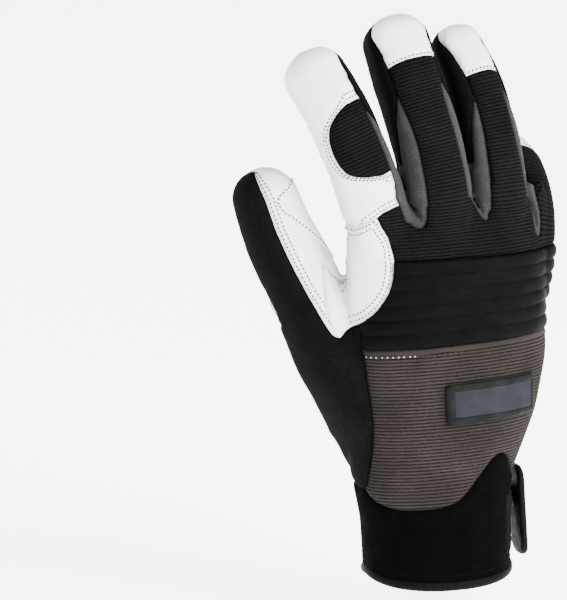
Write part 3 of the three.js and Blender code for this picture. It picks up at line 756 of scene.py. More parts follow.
# %% Sew a panel
LINING = 1.5  # how far a panel's thickness reaches inwards
SEAM_SINK, SEAM_WIDTH = 0.55, 1.5
PLUMP_WIDTH = 4  # from the seam to where a panel reaches its full height
SKIN_SET_BACK = 0.35  # the melted skin stands a little proud of the pattern
FINE_BY_SEAM = 2.2  # how far from the seam the mesh is finer
made_pieces = {}


def sew(name, relief=None, plump=0.35, sink=SEAM_SINK, lift=0.0, cloth=None, fine=False, lining=LINING):
    """Gives a panel its height over the skin, keeps what the stitches need, and returns the cloth."""
    points, normals, data, triangles = cloth or pieces[name]
    edge = distance_to_rim(points, triangles)
    data = np.column_stack([data, edge])
    near = np.full(len(points), True) if fine else edge < FINE_BY_SEAM
    points, normals, data, triangles = refine((points, normals, data, triangles), near)
    edge = data[:, -1]
    pulled_in = (sink + lift * 0.9) * (1 - step_up(edge, 0, SEAM_WIDTH))
    height = lift - SKIN_SET_BACK + plump * step_up(edge, 0, PLUMP_WIDTH) - pulled_in
    fields = {key: data[:, k] for key, k in COLUMN.items()}
    if relief is not None:
        height = height + relief(points, edge, fields)
    sewn = {"points": points + normals * height[:, None], "normals": normals, "triangles": triangles,
            "fields": fields, "edge": edge, "lining": lining, "rib": np.zeros(len(points)), "skin": points}
    made_pieces[name] = sewn
    return sewn


print("a seam sinks", SEAM_SINK, "mm over", SEAM_WIDTH, "mm")

# %% [markdown]
# ### The leather
# Goatskin is thin and soft. It wrinkles where the hand bends, and it lies smooth over the fingertips. The
# folds here run where a real hand would make them: across the finger joints and out from the root of the
# thumb. The thread draws the leather in between the needle holes, which leaves small puckers along the
# seams.

# %% Sew the leather
JOINT_CREASES = {"index": (30, 56, 80), "middle": (32, 60, 88), "ring": (30, 57, 84), "pinky": (26, 46)}
THUMB_ROOT = np.array([-47, 6, 112])  # where the web starts
FOLDS_PER_TURN, FOLD_DEPTH = 9, 0.7  # the palm's folds fan out from there
CREASE_SECTION = [(-0.75, 0, 1.3), (-0.3, 4.6, 0.9), (0.3, 2.4, 1.8)]  # height, distance and width


def leather_relief(points, edge, fields):
    puckers = 0.17 * ripple(points, 2.2, 11) * (1 - step_up(edge, 1, 6))
    soft = 0.34 * ripple(points, 15, 3) + 0.12 * ripple(points, 5, 5)
    total = puckers + soft
    for name, places in JOINT_CREASES.items():
        from_tip, angle, out = measure(DIGITS[name], points)
        front = step_up(np.abs(angle), 75, 125) * (out < 2.5)
        bent = from_tip + 1.4 * ripple(points, 16, 21)
        for place in places:
            for height, shift, width in CREASE_SECTION:
                total += height * front * np.exp(-(((bent - place - shift) / width) ** 2))
    offset = points - THUMB_ROOT
    reach = np.linalg.norm(offset, axis=1)
    fan = np.degrees(np.arctan2(offset[:, 0], -offset[:, 2])) + 5 * ripple(points, 24, 8)
    folds = np.cos(np.radians(fan * FOLDS_PER_TURN)) ** 6
    palm_side = step_up(points[:, 1], -4, 6)
    total -= FOLD_DEPTH * folds * palm_side * step_up(reach, 6, 16) * (1 - step_up(reach, 30, 58))
    return total


leather_names = ["palm_leather", "web_patch", "middle_cap", "ring_cap", "pinky_cap"]
for name in leather_names:
    sew(name, leather_relief, plump=0.45)
print("the palm has", len(made_pieces["palm_leather"]["triangles"]), "triangles")

# %% [markdown]
# ### Cloth, suede and neoprene
# The ribbed cloth is stretched over the hand, so it is smooth apart from its ribs, which come with its
# material. The gussets fold inwards where two fingers meet. Fleece has a soft, uneven face.

# %% Sew the cloth
def cloth_relief(points, edge, fields):
    return 0.10 * ripple(points, 18, 31) + 0.04 * ripple(points, 6, 32)


def fleece_relief(points, edge, fields):
    return 0.12 * ripple(points, 9, 41) + 0.05 * ripple(points, 3, 42)


def gusset_relief(crotch):
    def relief(points, edge, fields):
        # the fold runs from the rounded root up between the two fingers
        fold_x = eased(points[:, 2], [z for _, z in crotch["fold"]], [x for x, _ in crotch["fold"]], 3)
        low, web = crotch["fold"][0][1], crotch["web"][1]
        across = points[:, 0] - fold_x
        height = step_up(points[:, 2], low - 1, low + 5) * (1 - step_up(points[:, 2], web + 4, web + 10))
        fold = np.exp(-((across / 0.75) ** 2)) * 2.6 - np.exp(-((across / 3.2) ** 2)) * 0.4
        return 0.06 * ripple(points, 5, 51) - fold * height * (points[:, 1] < 2)

    return relief


for name in ("index_knuckle_oval", "back_panel"):
    sew(name, cloth_relief, plump=0.3)
FOLD = 2.7  # the grey panel's top is folded under, and lies thicker


def grey_relief(points, edge, fields):
    down = -fields["knuckle_guard"]
    folded = 1 - step_up(down, FOLD - 0.3, FOLD + 0.3)
    seam_line = np.exp(-(((down - FOLD) / 0.35) ** 2))
    return cloth_relief(points, edge, fields) + 0.35 * folded - 0.2 * seam_line


sew("grey_panel", grey_relief, plump=0.35, sink=0.45)
sew("edge_panel", fleece_relief, plump=0.4)
for crotch_name, crotch in CROTCHES.items():
    sew("fourchette_" + crotch_name, fleece_relief, plump=0.3)
    sew("gusset_" + crotch_name, gusset_relief(crotch), plump=0.35)
sew("cuff", cloth_relief, plump=0.35)
print(len(made_pieces), "panels sewn")

# %% [markdown]
# ### The knuckle guard
# Six bars of foam lie between two layers of cloth, and a line of stitches holds each valley down. The
# bars are round, the valleys are sharp, and all of them flatten out at the ends, where they go into the
# side seams.

# %% Sew the guard
BARS, BAR_BULGE, BAR_VALLEY = 6, 1.5, 0.1
BAR_ROUNDNESS = 0.42  # below one, a bar is full and the valley beside it is narrow


def guard_relief(points, edge, fields):
    low = guard_low_at(points[:, 0])
    place = (points[:, 2] - low) / (GUARD_HIGH - low) * BARS
    bar = np.abs(np.sin(math.pi * place)) ** BAR_ROUNDNESS
    crease = 0.12 * ripple(points, 4, 62) * (1 - bar)
    plump = BAR_VALLEY + (BAR_BULGE - BAR_VALLEY) * bar + 0.10 * ripple(points, 12, 61) + crease
    from_end = np.minimum(points[:, 0] + 40, PINKY_EDGE_Y - points[:, 1])
    return plump * (0.25 + 0.75 * step_up(from_end, 0, 3))


sew("knuckle_guard", guard_relief, plump=0.1, sink=0.2, fine=True)
print("the guard's bars are", round((GUARD_HIGH - GUARD_LOW) / BARS, 1), "mm apart")

# %% [markdown]
# ### Layers on top
# The thumb has a second layer of leather, the strap crosses the cuff below the palm, and a white leather
# strip runs down the cuff to pull the glove on by. Each one is a second panel cut from the same skin and
# lifted by its own thickness, so it lies on what carries it.

# %% Cut and sew the upper layers
def extra_panel(base, field_at):
    """Cuts a piece out of a copy of a panel, along a field worked out at the panel's own points."""
    points, normals, data, triangles = pieces[base]
    data = data.copy()
    data[:, COLUMN["upper_layer"]] = field_at(points)
    inside, _ = cut((points, normals, data, triangles), "upper_layer")
    return inside


PATCH_FROM_TIP = [8, 9, 13, 18, 26, 36, 46, 54, 55]
PATCH_LOW = [170, 104, 80, 78, 93, 112, 134, 154, 178]
PATCH_HIGH = [171, 200, 225, 238, 238, 232, 215, 190, 179]


def thumb_patch_at(points):
    from_tip, angle, out = measure(DIGITS["thumb"], points)
    low, high = [eased(from_tip, PATCH_FROM_TIP, angles, 2.5) for angles in (PATCH_LOW, PATCH_HIGH)]
    return shared(between_angles(angle, low, high), from_tip - 8.5, 54.5 - from_tip, 3 - out)


STRAP_END_X, STRAP_MIDDLE_Z, STRAP_HALF, STRAP_CORNER = 16, 20.5, 15.5, 3
PULL_X, PULL_WIDTH, PULL_TOP = -9, 16.5, 35.5


def strap_at(points):
    x, y, z = points.T
    past_end = np.maximum(STRAP_END_X + STRAP_CORNER - x, 0)
    past_side = np.maximum(np.abs(z - STRAP_MIDDLE_Z) - STRAP_HALF + STRAP_CORNER, 0)
    return shared(STRAP_CORNER - np.hypot(past_end, past_side), y - 0.3)


def pull_strip_at(points):
    x, y, z = points.T
    return shared(PULL_WIDTH / 2 - np.abs(x - PULL_X), PULL_TOP - z, y)


LOOP_FROM_X, LOOP_FROM_Y, LOOP_LOW, LOOP_HIGH = 27.5, -0.5, 7.5, 36


def loop_patch_at(points):
    x, y, z = points.T
    return shared(x - LOOP_FROM_X, LOOP_FROM_Y - y, LOOP_HIGH - z, z - LOOP_LOW)


def smooth_layer(points, edge, fields):
    return 0.08 * ripple(points, 12, 71)


sew("thumb_patch", lambda p, e, f: 0.14 * ripple(p, 11, 72), lift=1.0, sink=0.1, plump=0.25, lining=0.8,
    cloth=extra_panel("palm_leather", thumb_patch_at))
sew("strap", smooth_layer, lift=1.9, sink=0.05, plump=0.1, cloth=extra_panel("cuff", strap_at), lining=1.2)
sew("pull_strip", smooth_layer, lift=1.0, sink=0.05, plump=0.1, lining=0.8,
    cloth=extra_panel("cuff", pull_strip_at))
sew("loop_patch", lambda p, e, f: 0.25 * ripple(p, 1.6, 73), lift=0.7, sink=0.1, plump=0.1, lining=0.6,
    cloth=extra_panel("cuff", loop_patch_at))
print("the strap has", len(made_pieces["strap"]["triangles"]), "triangles")

# %% [markdown]
# ## Finishes
# Each finish is made of nodes, in millimetres on the object itself, so it keeps its scale on every panel.
# Three numbers travel with each point: its distance from the seam, its place across the ribs, and its
# distance from the nearest row of stitches.

# %% A small kit for materials
FINISH_END = "_finish"  # a finish's material takes the finish's name, with this after it


class Finish:
    """A material with short calls for the nodes that the finishes share."""

    def __init__(self, name, roughness, specular, sheen=0.0, sheen_roughness=0.4):
        self.material = bpy.data.materials.new(name + FINISH_END)
        self.material.use_nodes = True
        self.tree = self.material.node_tree
        self.shader = self.tree.nodes["Principled BSDF"]
        self.shader.inputs["Roughness"].default_value = roughness
        self.shader.inputs["Specular IOR Level"].default_value = specular
        self.shader.inputs["Sheen Weight"].default_value = sheen
        self.shader.inputs["Sheen Roughness"].default_value = sheen_roughness
        place = self.node("ShaderNodeTexCoord").outputs["Object"]
        self.place = self.node("ShaderNodeVectorMath", place, operation="SCALE").outputs["Vector"]
        self.place.node.inputs["Scale"].default_value = 1 / MM

    def node(self, kind, *inputs, **settings):
        """Adds a node, sets it, and feeds its sockets in order with links or plain values."""
        made = self.tree.nodes.new(kind)
        for key, value in settings.items():
            setattr(made, key, value)
        for socket, value in zip(made.inputs, inputs):
            self.put(value, socket)
        return made

    def put(self, value, socket):
        if isinstance(value, bpy.types.NodeSocket):
            self.tree.links.new(value, socket)
        elif value is not None:
            socket.default_value = value

    def math(self, operation, *inputs):
        return self.node("ShaderNodeMath", *inputs, operation=operation).outputs[0]

    def noise(self, size, detail=2.0, rough=0.5):
        made = self.node("ShaderNodeTexNoise")
        self.put(self.place, made.inputs["Vector"])
        made.inputs["Scale"].default_value = 1 / size
        made.inputs["Detail"].default_value = detail
        made.inputs["Roughness"].default_value = rough
        return made.outputs["Fac"]

    def cells(self, size):
        """Small round grains, given by the distance to each one's middle."""
        made = self.node("ShaderNodeTexVoronoi")
        self.put(self.place, made.inputs["Vector"])
        made.inputs["Scale"].default_value = 1 / size
        return made.outputs["Distance"]

    def carried(self, name):
        """A number that the panel carries at each point."""
        return self.node("ShaderNodeAttribute", attribute_name=name).outputs["Fac"]

    def ramp(self, value, low, high, to_low=0.0, to_high=1.0):
        """A smooth rise or fall of the result while the value goes from low to high."""
        numbers = (value, low, high, to_low, to_high)
        return self.node("ShaderNodeMapRange", *numbers, interpolation_type="SMOOTHSTEP").outputs["Result"]

    def mixed(self, share, first, second):
        made = self.node("ShaderNodeMix", data_type="RGBA")
        self.put(share, made.inputs["Factor"])
        for colour, socket in ((first, made.inputs[6]), (second, made.inputs[7])):
            self.put(colour if isinstance(colour, bpy.types.NodeSocket) else (*colour, 1), socket)
        return made.outputs[2]

    def seam_dirt_and_shade(self, tone, width, share, dark):
        """Darkens the cloth beside its seams: dirt, and painted shade where the seam dips."""
        return self.mixed(self.ramp(self.carried("edge_mm"), 0.1, width, share, 0), tone, dark)

    def wave(self, coordinate, pitch, sharpness=1.0):
        """Ribs: 1 on a crest and 0 in a valley."""
        turn = self.math("MULTIPLY", coordinate, 2 * math.pi / pitch)
        half = self.math("MULTIPLY_ADD", self.math("COSINE", turn), 0.5, 0.5)
        return self.math("POWER", half, sharpness)

    def split(self):
        return self.node("ShaderNodeSeparateXYZ", self.place).outputs

    def colour(self, value):
        self.put(value, self.shader.inputs["Base Color"])

    def roughness(self, value):
        self.put(value, self.shader.inputs["Roughness"])

    def bumps(self, *layers):
        """Each layer is a height and its depth in millimetres."""
        before = None
        for height, depth in layers:
            made = self.node("ShaderNodeBump")
            made.inputs["Strength"].default_value = 1
            made.inputs["Distance"].default_value = depth * MM
            self.put(height, made.inputs["Height"])
            if before is not None:
                self.put(before, made.inputs["Normal"])
            before = made.outputs["Normal"]
        self.put(before, self.shader.inputs["Normal"])


def shade(colour, share):
    """The same colour, darker or lighter."""
    return tuple(min(1, share * part) for part in colour)


print("a finish has", len([name for name in dir(Finish) if not name.startswith("_")]), "calls")

# %% [markdown]
# ### White goatskin
# Goatskin has a fine pebbled grain, a matt face with a little sheen, and small marks. It is never pure
# white: it greys in the folds and seams, with dirt and painted shade. Painted shadow lies beside the
# stitches, and painted shade darkens it where it turns away from the eye.

# %% White leather
def white_leather():
    finish = Finish("white_leather", roughness=0.55, specular=0.32, sheen=0.12, sheen_roughness=0.5)
    patches = finish.noise(24, 3)
    tone = finish.mixed(finish.ramp(patches, 0.3, 0.7), (0.80, 0.805, 0.81), (0.87, 0.872, 0.87))
    pebble = finish.cells(0.8)
    fine = finish.noise(0.35, 3, 0.6)
    pores = finish.ramp(finish.noise(0.55, 1), 0.60, 0.72)
    tone = finish.mixed(finish.math("MULTIPLY", pores, 0.10), tone, (0.62, 0.62, 0.61))
    tone = finish.seam_dirt_and_shade(tone, 1.5, 0.45, (0.47, 0.47, 0.48))
    # painted shadow of the threads: the leather is darker close to each row of stitches
    painted_stitch_shadow = finish.ramp(finish.carried("stitch_mm"), 0.2, 1.0, 0.16, 0)
    tone = finish.mixed(painted_stitch_shadow, tone, (0.55, 0.56, 0.58))
    # painted shade: the leather's colour greys where its face turns away from the eye
    facing_for_painted_shade = finish.node("ShaderNodeLayerWeight", 0.5).outputs["Facing"]
    tone = finish.mixed(finish.ramp(facing_for_painted_shade, 0.15, 0.92, 0, 0.78), tone, (0.33, 0.34, 0.36))
    finish.colour(tone)
    finish.roughness(finish.ramp(finish.noise(6, 2), 0.3, 0.7, 0.47, 0.62))
    finish.bumps((pebble, 0.05), (fine, 0.05), (finish.noise(3.2, 2), 0.12))
    return finish.material


WHITE_LEATHER = white_leather()
print("leather nodes:", len(WHITE_LEATHER.node_tree.nodes))

# %% [markdown]
# ### Ribbed stretch cloth
# Each rib is a knitted tube about a millimetre and a half across. The crest's colour is painted light, and
# the valley's is painted shade. Across each rib run the rows of the knit, about six tenths of a millimetre
# apart.

# %% Ribbed cloth, black and grey
BLACK_RIB_PITCH, GREY_RIB_PITCH, KNIT_PITCH = 1.45, 1.55, 0.62


def ribbed_cloth(name, pitch, shaded_valley, lit_crest, flecks, sheen, rib_depth):
    finish = Finish(name, roughness=0.88, specular=0.01, sheen=sheen, sheen_roughness=0.45)
    rib_place = finish.carried("rib_mm")
    wobble = finish.math("MULTIPLY_ADD", finish.noise(9, 2), 0.5, rib_place)
    rib = finish.wave(wobble, pitch, 0.75)
    # the grey panel's folded band is smooth, and takes most of the crest's painted light
    rib = finish.math("MAXIMUM", rib, finish.math("MULTIPLY", finish.carried("folded"), 0.7))
    knit = finish.wave(finish.carried("across_mm"), KNIT_PITCH)
    yarn = finish.noise(0.45, 2, 0.6)
    # painted light and shade: the crest's colour is lit and the valley's colour is shaded
    tone = finish.mixed(finish.ramp(rib, 0.12, 0.75), shaded_valley, lit_crest)
    tone = finish.mixed(finish.math("MULTIPLY", finish.ramp(yarn, 0.5, 0.72), 0.55), tone, flecks)
    uneven = finish.ramp(finish.noise(20, 3), 0.3, 0.7, 0.0, 0.35)
    tone = finish.mixed(uneven, tone, shaded_valley)
    tone = finish.seam_dirt_and_shade(tone, 1.2, 0.5, shade(shaded_valley, 0.4))
    finish.colour(tone)
    finish.roughness(finish.ramp(rib, 0, 1, 0.95, 0.78))
    finish.bumps((rib, rib_depth), (finish.math("MULTIPLY", knit, rib), 0.09), (yarn, 0.08))
    return finish.material


BLACK_RIB = ribbed_cloth(
    "black_rib", BLACK_RIB_PITCH, shaded_valley=(0.0012, 0.0012, 0.0013), lit_crest=(0.0050, 0.0050, 0.0050),
    flecks=(0.015, 0.0135, 0.0135), sheen=0.003, rib_depth=0.3
)
GREY_RIB = ribbed_cloth(
    "grey_rib", GREY_RIB_PITCH, shaded_valley=(0.0046, 0.0039, 0.0036), lit_crest=(0.0225, 0.0188, 0.0170),
    flecks=(0.052, 0.0445, 0.040), sheen=0.006, rib_depth=0.3
)
print("ribs are", BLACK_RIB_PITCH, "and", GREY_RIB_PITCH, "mm apart")

# %% [markdown]
# ### Fleece, suede, neoprene and the guard's cloth
# These four are plain from afar. Close up, the fleece has a brushed nap, the suede is mottled and drinks
# the light, the neoprene shows a fine knit, and the guard's cloth has a soft sheen on each bar.

# %% The plain cloths
def napped(name, dark, light, nap, sheen, depth, mottle=12.0):
    finish = Finish(name, roughness=0.92, specular=0.01, sheen=sheen, sheen_roughness=0.35)
    pile = finish.noise(nap, 3, 0.65)
    tone = finish.mixed(finish.ramp(pile, 0.32, 0.72), dark, light)
    tone = finish.mixed(finish.ramp(finish.noise(mottle, 3), 0.35, 0.7, 0, 0.45), tone, dark)
    tone = finish.seam_dirt_and_shade(tone, 1.3, 0.55, shade(dark, 0.35))
    finish.colour(tone)
    finish.roughness(finish.ramp(pile, 0.3, 0.7, 0.98, 0.8))
    finish.bumps((pile, depth), (finish.noise(nap * 4, 2), depth * 1.4))
    return finish.material


def fine_knit(name, dark, light, pitch, specular, rough, sheen):
    finish = Finish(name, roughness=rough, specular=specular, sheen=sheen, sheen_roughness=0.5)
    _, _, z = finish.split()
    rows = finish.wave(z, pitch)
    columns = finish.wave(finish.carried("across_mm"), pitch * 1.1)
    loops = finish.math("MULTIPLY", rows, columns)
    tone = finish.mixed(loops, dark, light)
    tone = finish.mixed(finish.ramp(finish.noise(15, 3), 0.3, 0.7, 0, 0.4), tone, dark)
    tone = finish.seam_dirt_and_shade(tone, 1.2, 0.4, shade(dark, 0.4))
    finish.colour(tone)
    finish.roughness(finish.ramp(finish.noise(8, 2), 0.3, 0.7, rough - 0.08, rough + 0.08))
    finish.bumps((loops, 0.05), (finish.noise(1.4, 2), 0.05))
    return finish.material


BLACK_FLEECE = napped("black_fleece", (0.0015, 0.0015, 0.0016), (0.0052, 0.0052, 0.0054), 0.5, 0.005, 0.12)
GREY_SUEDE = napped("grey_suede", (0.017, 0.0165, 0.0162), (0.040, 0.0388, 0.038), 0.45, 0.02, 0.06, mottle=5)
NEOPRENE = fine_knit("neoprene", (0.0007,) * 3, (0.0019,) * 3, 0.7, 0.008, 0.88, 0.001)
PADDED_CLOTH = fine_knit("padded_cloth", (0.0010, 0.0010, 0.0011), (0.0030, 0.0030, 0.0031), 0.45, 0.02, 0.6,
                         0.002)
BINDING_TAPE = fine_knit("binding_tape", (0.0011,) * 3, (0.0030,) * 3, 0.5, 0.03, 0.6, 0.002)
print("plain cloths ready")


# %% Rubber and thread
def moulded_rubber(name, dark, light, rough, specular):
    finish = Finish(name, roughness=rough, specular=specular)
    grain = finish.noise(0.4, 3, 0.6)
    tone = finish.mixed(finish.ramp(finish.noise(7, 3), 0.3, 0.7), dark, light)
    tone = finish.mixed(finish.ramp(grain, 0.62, 0.8, 0, 0.3), tone, shade(light, 1.8))
    finish.colour(tone)
    finish.roughness(finish.ramp(finish.noise(3, 3), 0.3, 0.7, rough - 0.08, rough + 0.12))
    finish.bumps((grain, 0.03), (finish.noise(2.5, 2), 0.05))
    return finish.material


def twisted_thread(name, dark, light, gloss):
    finish = Finish(name, roughness=0.6, specular=gloss, sheen=gloss / 2)
    x, y, z = finish.split()
    twist = finish.wave(finish.math("ADD", z, finish.math("ADD", x, y)), 0.3)
    finish.colour(finish.mixed(twist, dark, light))
    finish.roughness(finish.ramp(twist, 0, 1, 0.75, 0.5))
    finish.bumps((twist, 0.04))
    return finish.material


GREY_RUBBER = moulded_rubber("grey_rubber", (0.0105, 0.0112, 0.0138), (0.0145, 0.0155, 0.0188), 0.6, 0.03)
BLACK_RUBBER = moulded_rubber("black_rubber", (0.0016, 0.0016, 0.0018), (0.0034, 0.0034, 0.0037), 0.5, 0.03)
FRAME_RUBBER = moulded_rubber("frame_rubber", (0.0038, 0.0048, 0.0043), (0.0065, 0.0080, 0.0073), 0.55, 0.03)
PALE_THREAD = twisted_thread("pale_thread", (0.60, 0.61, 0.62), (0.80, 0.81, 0.81), 0.2)
BLACK_THREAD = twisted_thread("black_thread", (0.001, 0.001, 0.001), (0.003, 0.003, 0.003), 0.01)
# painted shade: each needle hole is a dark capsule, coloured as the shade inside the hole
NEEDLE_HOLE_SHADE = moulded_rubber("needle_hole_shade", (0.014, 0.015, 0.018), (0.024, 0.026, 0.030), 0.9, 0.02)
print(len(bpy.data.materials), "materials in the file")

# %% [markdown]
# ## Rows of stitches
# A row runs at a fixed distance from a seam. The distances are already fields on each panel, so a row is
# the line where a field has one value, like a contour on a map. Along it, short rounded threads lie
# between needle holes.

# %% Follow a row
def contour(cloth, values, level):
    """Chains of points and normals where values cross the level."""
    points, normals, triangles = cloth["points"], cloth["normals"], cloth["triangles"]
    above = values > level
    flags = above[triangles]
    crossing = triangles[(flags.sum(axis=1) % 3) != 0]
    links, spots = {}, {}
    for triangle in crossing:
        ends = []
        for k in range(3):
            a, b = int(triangle[k]), int(triangle[(k + 1) % 3])
            if above[a] != above[b]:
                key = (min(a, b), max(a, b))
                if key not in spots:
                    share = (level - values[key[0]]) / (values[key[1]] - values[key[0]])
                    spots[key] = (points[key[0]] * (1 - share) + points[key[1]] * share,
                                  normals[key[0]] * (1 - share) + normals[key[1]] * share)
                ends.append(key)
        for one, other in (ends, ends[::-1]):
            links.setdefault(one, []).append(other)
    chains, seen = [], set()
    for first in sorted(links, key=lambda key: len(links[key])):
        if first in seen:
            continue
        chain, here = [first], first
        seen.add(first)
        while True:
            onward = [key for key in links[here] if key not in seen]
            if not onward:
                break
            here = onward[0]
            seen.add(here)
            chain.append(here)
        if len(chain) > 3:
            chains.append([np.array([spots[key][part] for key in chain]) for part in (0, 1)])
    return chains


STITCHES = {"pale": [], "black": [], "hole": []}
HALF_HOLE = 0.46  # half the length of a needle hole
STITCH_SHARE = 0.27  # half of a thread's share of the pitch, where a needle hole follows it
ROW_SMOOTHING = 7  # points of the line that are averaged
ROW_MARKS = []


def stitch_row(panel, field_name, distance, pitch, thread="pale", holes=True, keep=None, side=1, share=0.34):
    """Stitches on a panel, at a distance from the edge of a region. side is -1 outside that region."""
    cloth = made_pieces[panel]
    values = cloth["edge"] if field_name == "edge" else side * cloth["fields"][field_name]
    count = 0
    for line, normals in contour(cloth, values, distance):
        steps = np.concatenate([[0], np.cumsum(np.linalg.norm(np.diff(line, axis=0), axis=1))])
        if steps[-1] < 2 * pitch:
            continue
        padded = [np.pad(column, ROW_SMOOTHING // 2, mode="edge") for column in line.T]
        mean = np.ones(ROW_SMOOTHING) / ROW_SMOOTHING
        line = np.array([np.convolve(column, mean, "valid") for column in padded]).T
        places = np.arange(pitch / 2, steps[-1], pitch)
        read = lambda values, at: np.array([np.interp(at, steps, column) for column in values.T]).T
        way = unit(read(line, places + 0.3) - read(line, places - 0.3))
        middle = read(line, places)
        normal = unit(read(normals, places))
        kept = np.full(len(places), True) if keep is None else keep(middle)
        middle, way, normal = middle[kept], way[kept], normal[kept]
        STITCHES[thread].append((middle, way, normal, pitch * (STITCH_SHARE if holes else share)))
        if holes:
            STITCHES["hole"].append((middle + way * pitch / 2, way, normal, HALF_HOLE))
        ROW_MARKS.extend([middle, middle + way * pitch / 2])
        count += len(middle)
    return count


ROWS = [
    # panel, region, distance from its edge, side, pitch
    ("palm_leather", "index_knuckle_oval", 1.5, -1, 1.8),
    ("palm_leather", "index_knuckle_oval", 3.4, -1, 1.8),
    ("palm_leather", "back_panel", 1.5, -1, 1.8),
    ("palm_leather", "back_panel", 3.4, -1, 1.8),
    ("web_patch", "web_patch", 1.5, 1, 1.8),
    ("web_patch", "web_patch", 3.4, 1, 1.8),
    ("palm_leather", "edge_panel", 1.5, -1, 1.9),
    ("palm_leather", "edge_panel", 3.4, -1, 1.9),
    ("thumb_patch", "edge", 1.7, 1, 2.0),
    ("middle_cap", "middle_cap", 1.1, 1, 1.9),
    ("ring_cap", "ring_cap", 1.1, 1, 1.9),
    ("pinky_cap", "pinky_cap", 1.1, 1, 1.9),
    ("pull_strip", "edge", 1.6, 1, 2.1),
]


def by_lower_edge(finger):
    return lambda points: measure(DIGITS[finger], points)[0] > CAP_LENGTHS[finger] - 4


WITHIN = {
    "middle_cap": by_lower_edge("middle"),
    "ring_cap": by_lower_edge("ring"),
    "pinky_cap": by_lower_edge("pinky"),
    "back_panel": lambda points: (points[:, 1] < 0) & (points[:, 0] < -12),
    "edge_panel": lambda points: points[:, 2] > 60,
    "web_patch": lambda points: (points[:, 2] > 141) | (points[:, 0] > -43),
}
for panel_name, field_name, distance, side, pitch in ROWS:
    keep = WITHIN.get(field_name) if panel_name != "thumb_patch" else None
    count = stitch_row(panel_name, field_name, distance, pitch, side=side, keep=keep)
    print(panel_name, "by", field_name, "at", distance, "mm:", count, "stitches")
PALE_UP_TO_X = -17  # the row on the grey fold shows pale specks at its thumb end, and is black from there on
stitch_row("grey_panel", "knuckle_guard", 3.0, 2.5, "pale", False, lambda p: p[:, 0] < PALE_UP_TO_X, -1, 0.13)
stitch_row("grey_panel", "knuckle_guard", 3.0, 2.5, "black", False, lambda p: p[:, 0] >= PALE_UP_TO_X, -1)
stitch_row("cuff", "above_hem", 5.2, 2.2, "black", holes=False)


# %% Lay the threads
THREAD_PROFILE = [(-0.82, 0.7), (-0.3, 1.0), (0.3, 1.0), (0.82, 0.7)]  # place along the thread, thickness
THREAD_SIDES = 6
THREAD_FLATNESS = 0.8


def capsules(rows, thickness, sink):
    """Rounded threads or holes, each a small closed solid that lies on the cloth."""
    around = THREAD_SIDES
    all_points, all_faces = [], []
    start = 0
    for middles, ways, normals, half in rows:
        for middle, way, normal in zip(middles, ways, normals):
            across = np.cross(way, normal)
            base = middle - normal * sink
            rings = []
            for along, wide in THREAD_PROFILE:
                for k in range(around):
                    turn = 2 * math.pi * k / around
                    out = normal * math.cos(turn) * THREAD_FLATNESS + across * math.sin(turn)
                    rings.append(base + way * along * half + wide * thickness * out)
            all_points += [base - way * half, *rings, base + way * half]
            last = start + 1 + len(THREAD_PROFILE) * around
            for k in range(around):
                after = (k + 1) % around
                all_faces.append((start, start + 1 + after, start + 1 + k))
                all_faces.append((last, last - around + k, last - around + after))
                for ring in range(len(THREAD_PROFILE) - 1):
                    a = start + 1 + ring * around
                    all_faces.append((a + k, a + after, a + around + after, a + around + k))
            start = last + 1
    return np.array(all_points), all_faces


THREADS = {  # material, half thickness, and how far it is sunk in the cloth
    "pale": (PALE_THREAD, 0.22, -0.04),
    "black": (BLACK_THREAD, 0.22, 0.02),
    # the holes carry painted shade
    "hole": (NEEDLE_HOLE_SHADE, 0.47, 0.11),
}
for thread, (material, thickness, sink) in THREADS.items():
    thread_points, thread_faces = capsules(STITCHES[thread], thickness, sink)
    threads = new_object(thread + "_threads", thread_points, thread_faces)
    finish_with(threads, material)
    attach(threads, "root")
    print(thread, len(thread_faces), "faces")

# %% [markdown]
# ## From arrays to objects
# Each panel becomes a Blender mesh with its measures as attributes, and a Solidify modifier gives it a
# real edge and an inner face. The CAD solid that it stands for is then hidden.

# %% Make the panels
RIB_SLOPE = 0.03  # the ribs climb a little towards the little finger
# Between these two heights the ribs turn from the hand's way to the finger's.
RIBS_TURN = {"middle": (164, 176), "ring": (164, 176), "pinky": (146, 156)}


def rib_place(name, cloth):
    """Millimetres across the ribs, which run round the hand and round each finger."""
    points = cloth["skin"]
    x, _, z = points.T
    if name == "index_knuckle_oval":
        return -measure(DIGITS["index"], points)[0], x
    place = z - RIB_SLOPE * x
    if name == "back_panel":
        for finger, heights in RIBS_TURN.items():
            from_tip, _, out = measure(DIGITS[finger], points)
            root_x, _, root_z = DIGITS[finger]["joints"][0][:3]
            on_finger = root_z - RIB_SLOPE * root_x + length_of(DIGITS[finger]) - from_tip
            share = step_up(z, *heights) * (out < 3)
            place = place * (1 - share) + on_finger * share
    return place, x


PANELS_BY_FINISH = [
    (WHITE_LEATHER, [*leather_names, "thumb_patch", "pull_strip"]),
    (BLACK_RIB, ["index_knuckle_oval", "back_panel"]),
    (GREY_RIB, ["grey_panel"]),
    (PADDED_CLOTH, ["knuckle_guard"]),
    (NEOPRENE, ["cuff", "strap"]),
    (GREY_SUEDE, ["gusset_" + crotch_name for crotch_name in CROTCHES]),
    (BLACK_FLEECE, ["edge_panel", "loop_patch", *("fourchette_" + crotch_name for crotch_name in CROTCHES)]),
]
FINISH_OF = {name: material for material, names in PANELS_BY_FINISH for name in names}
distance_to_stitches = distance_finder(np.vstack(ROW_MARKS))


def put_attribute(mesh, name, values):
    layer = mesh.attributes.new(name, "FLOAT", "POINT")
    layer.data.foreach_set("value", np.asarray(values, np.float32))


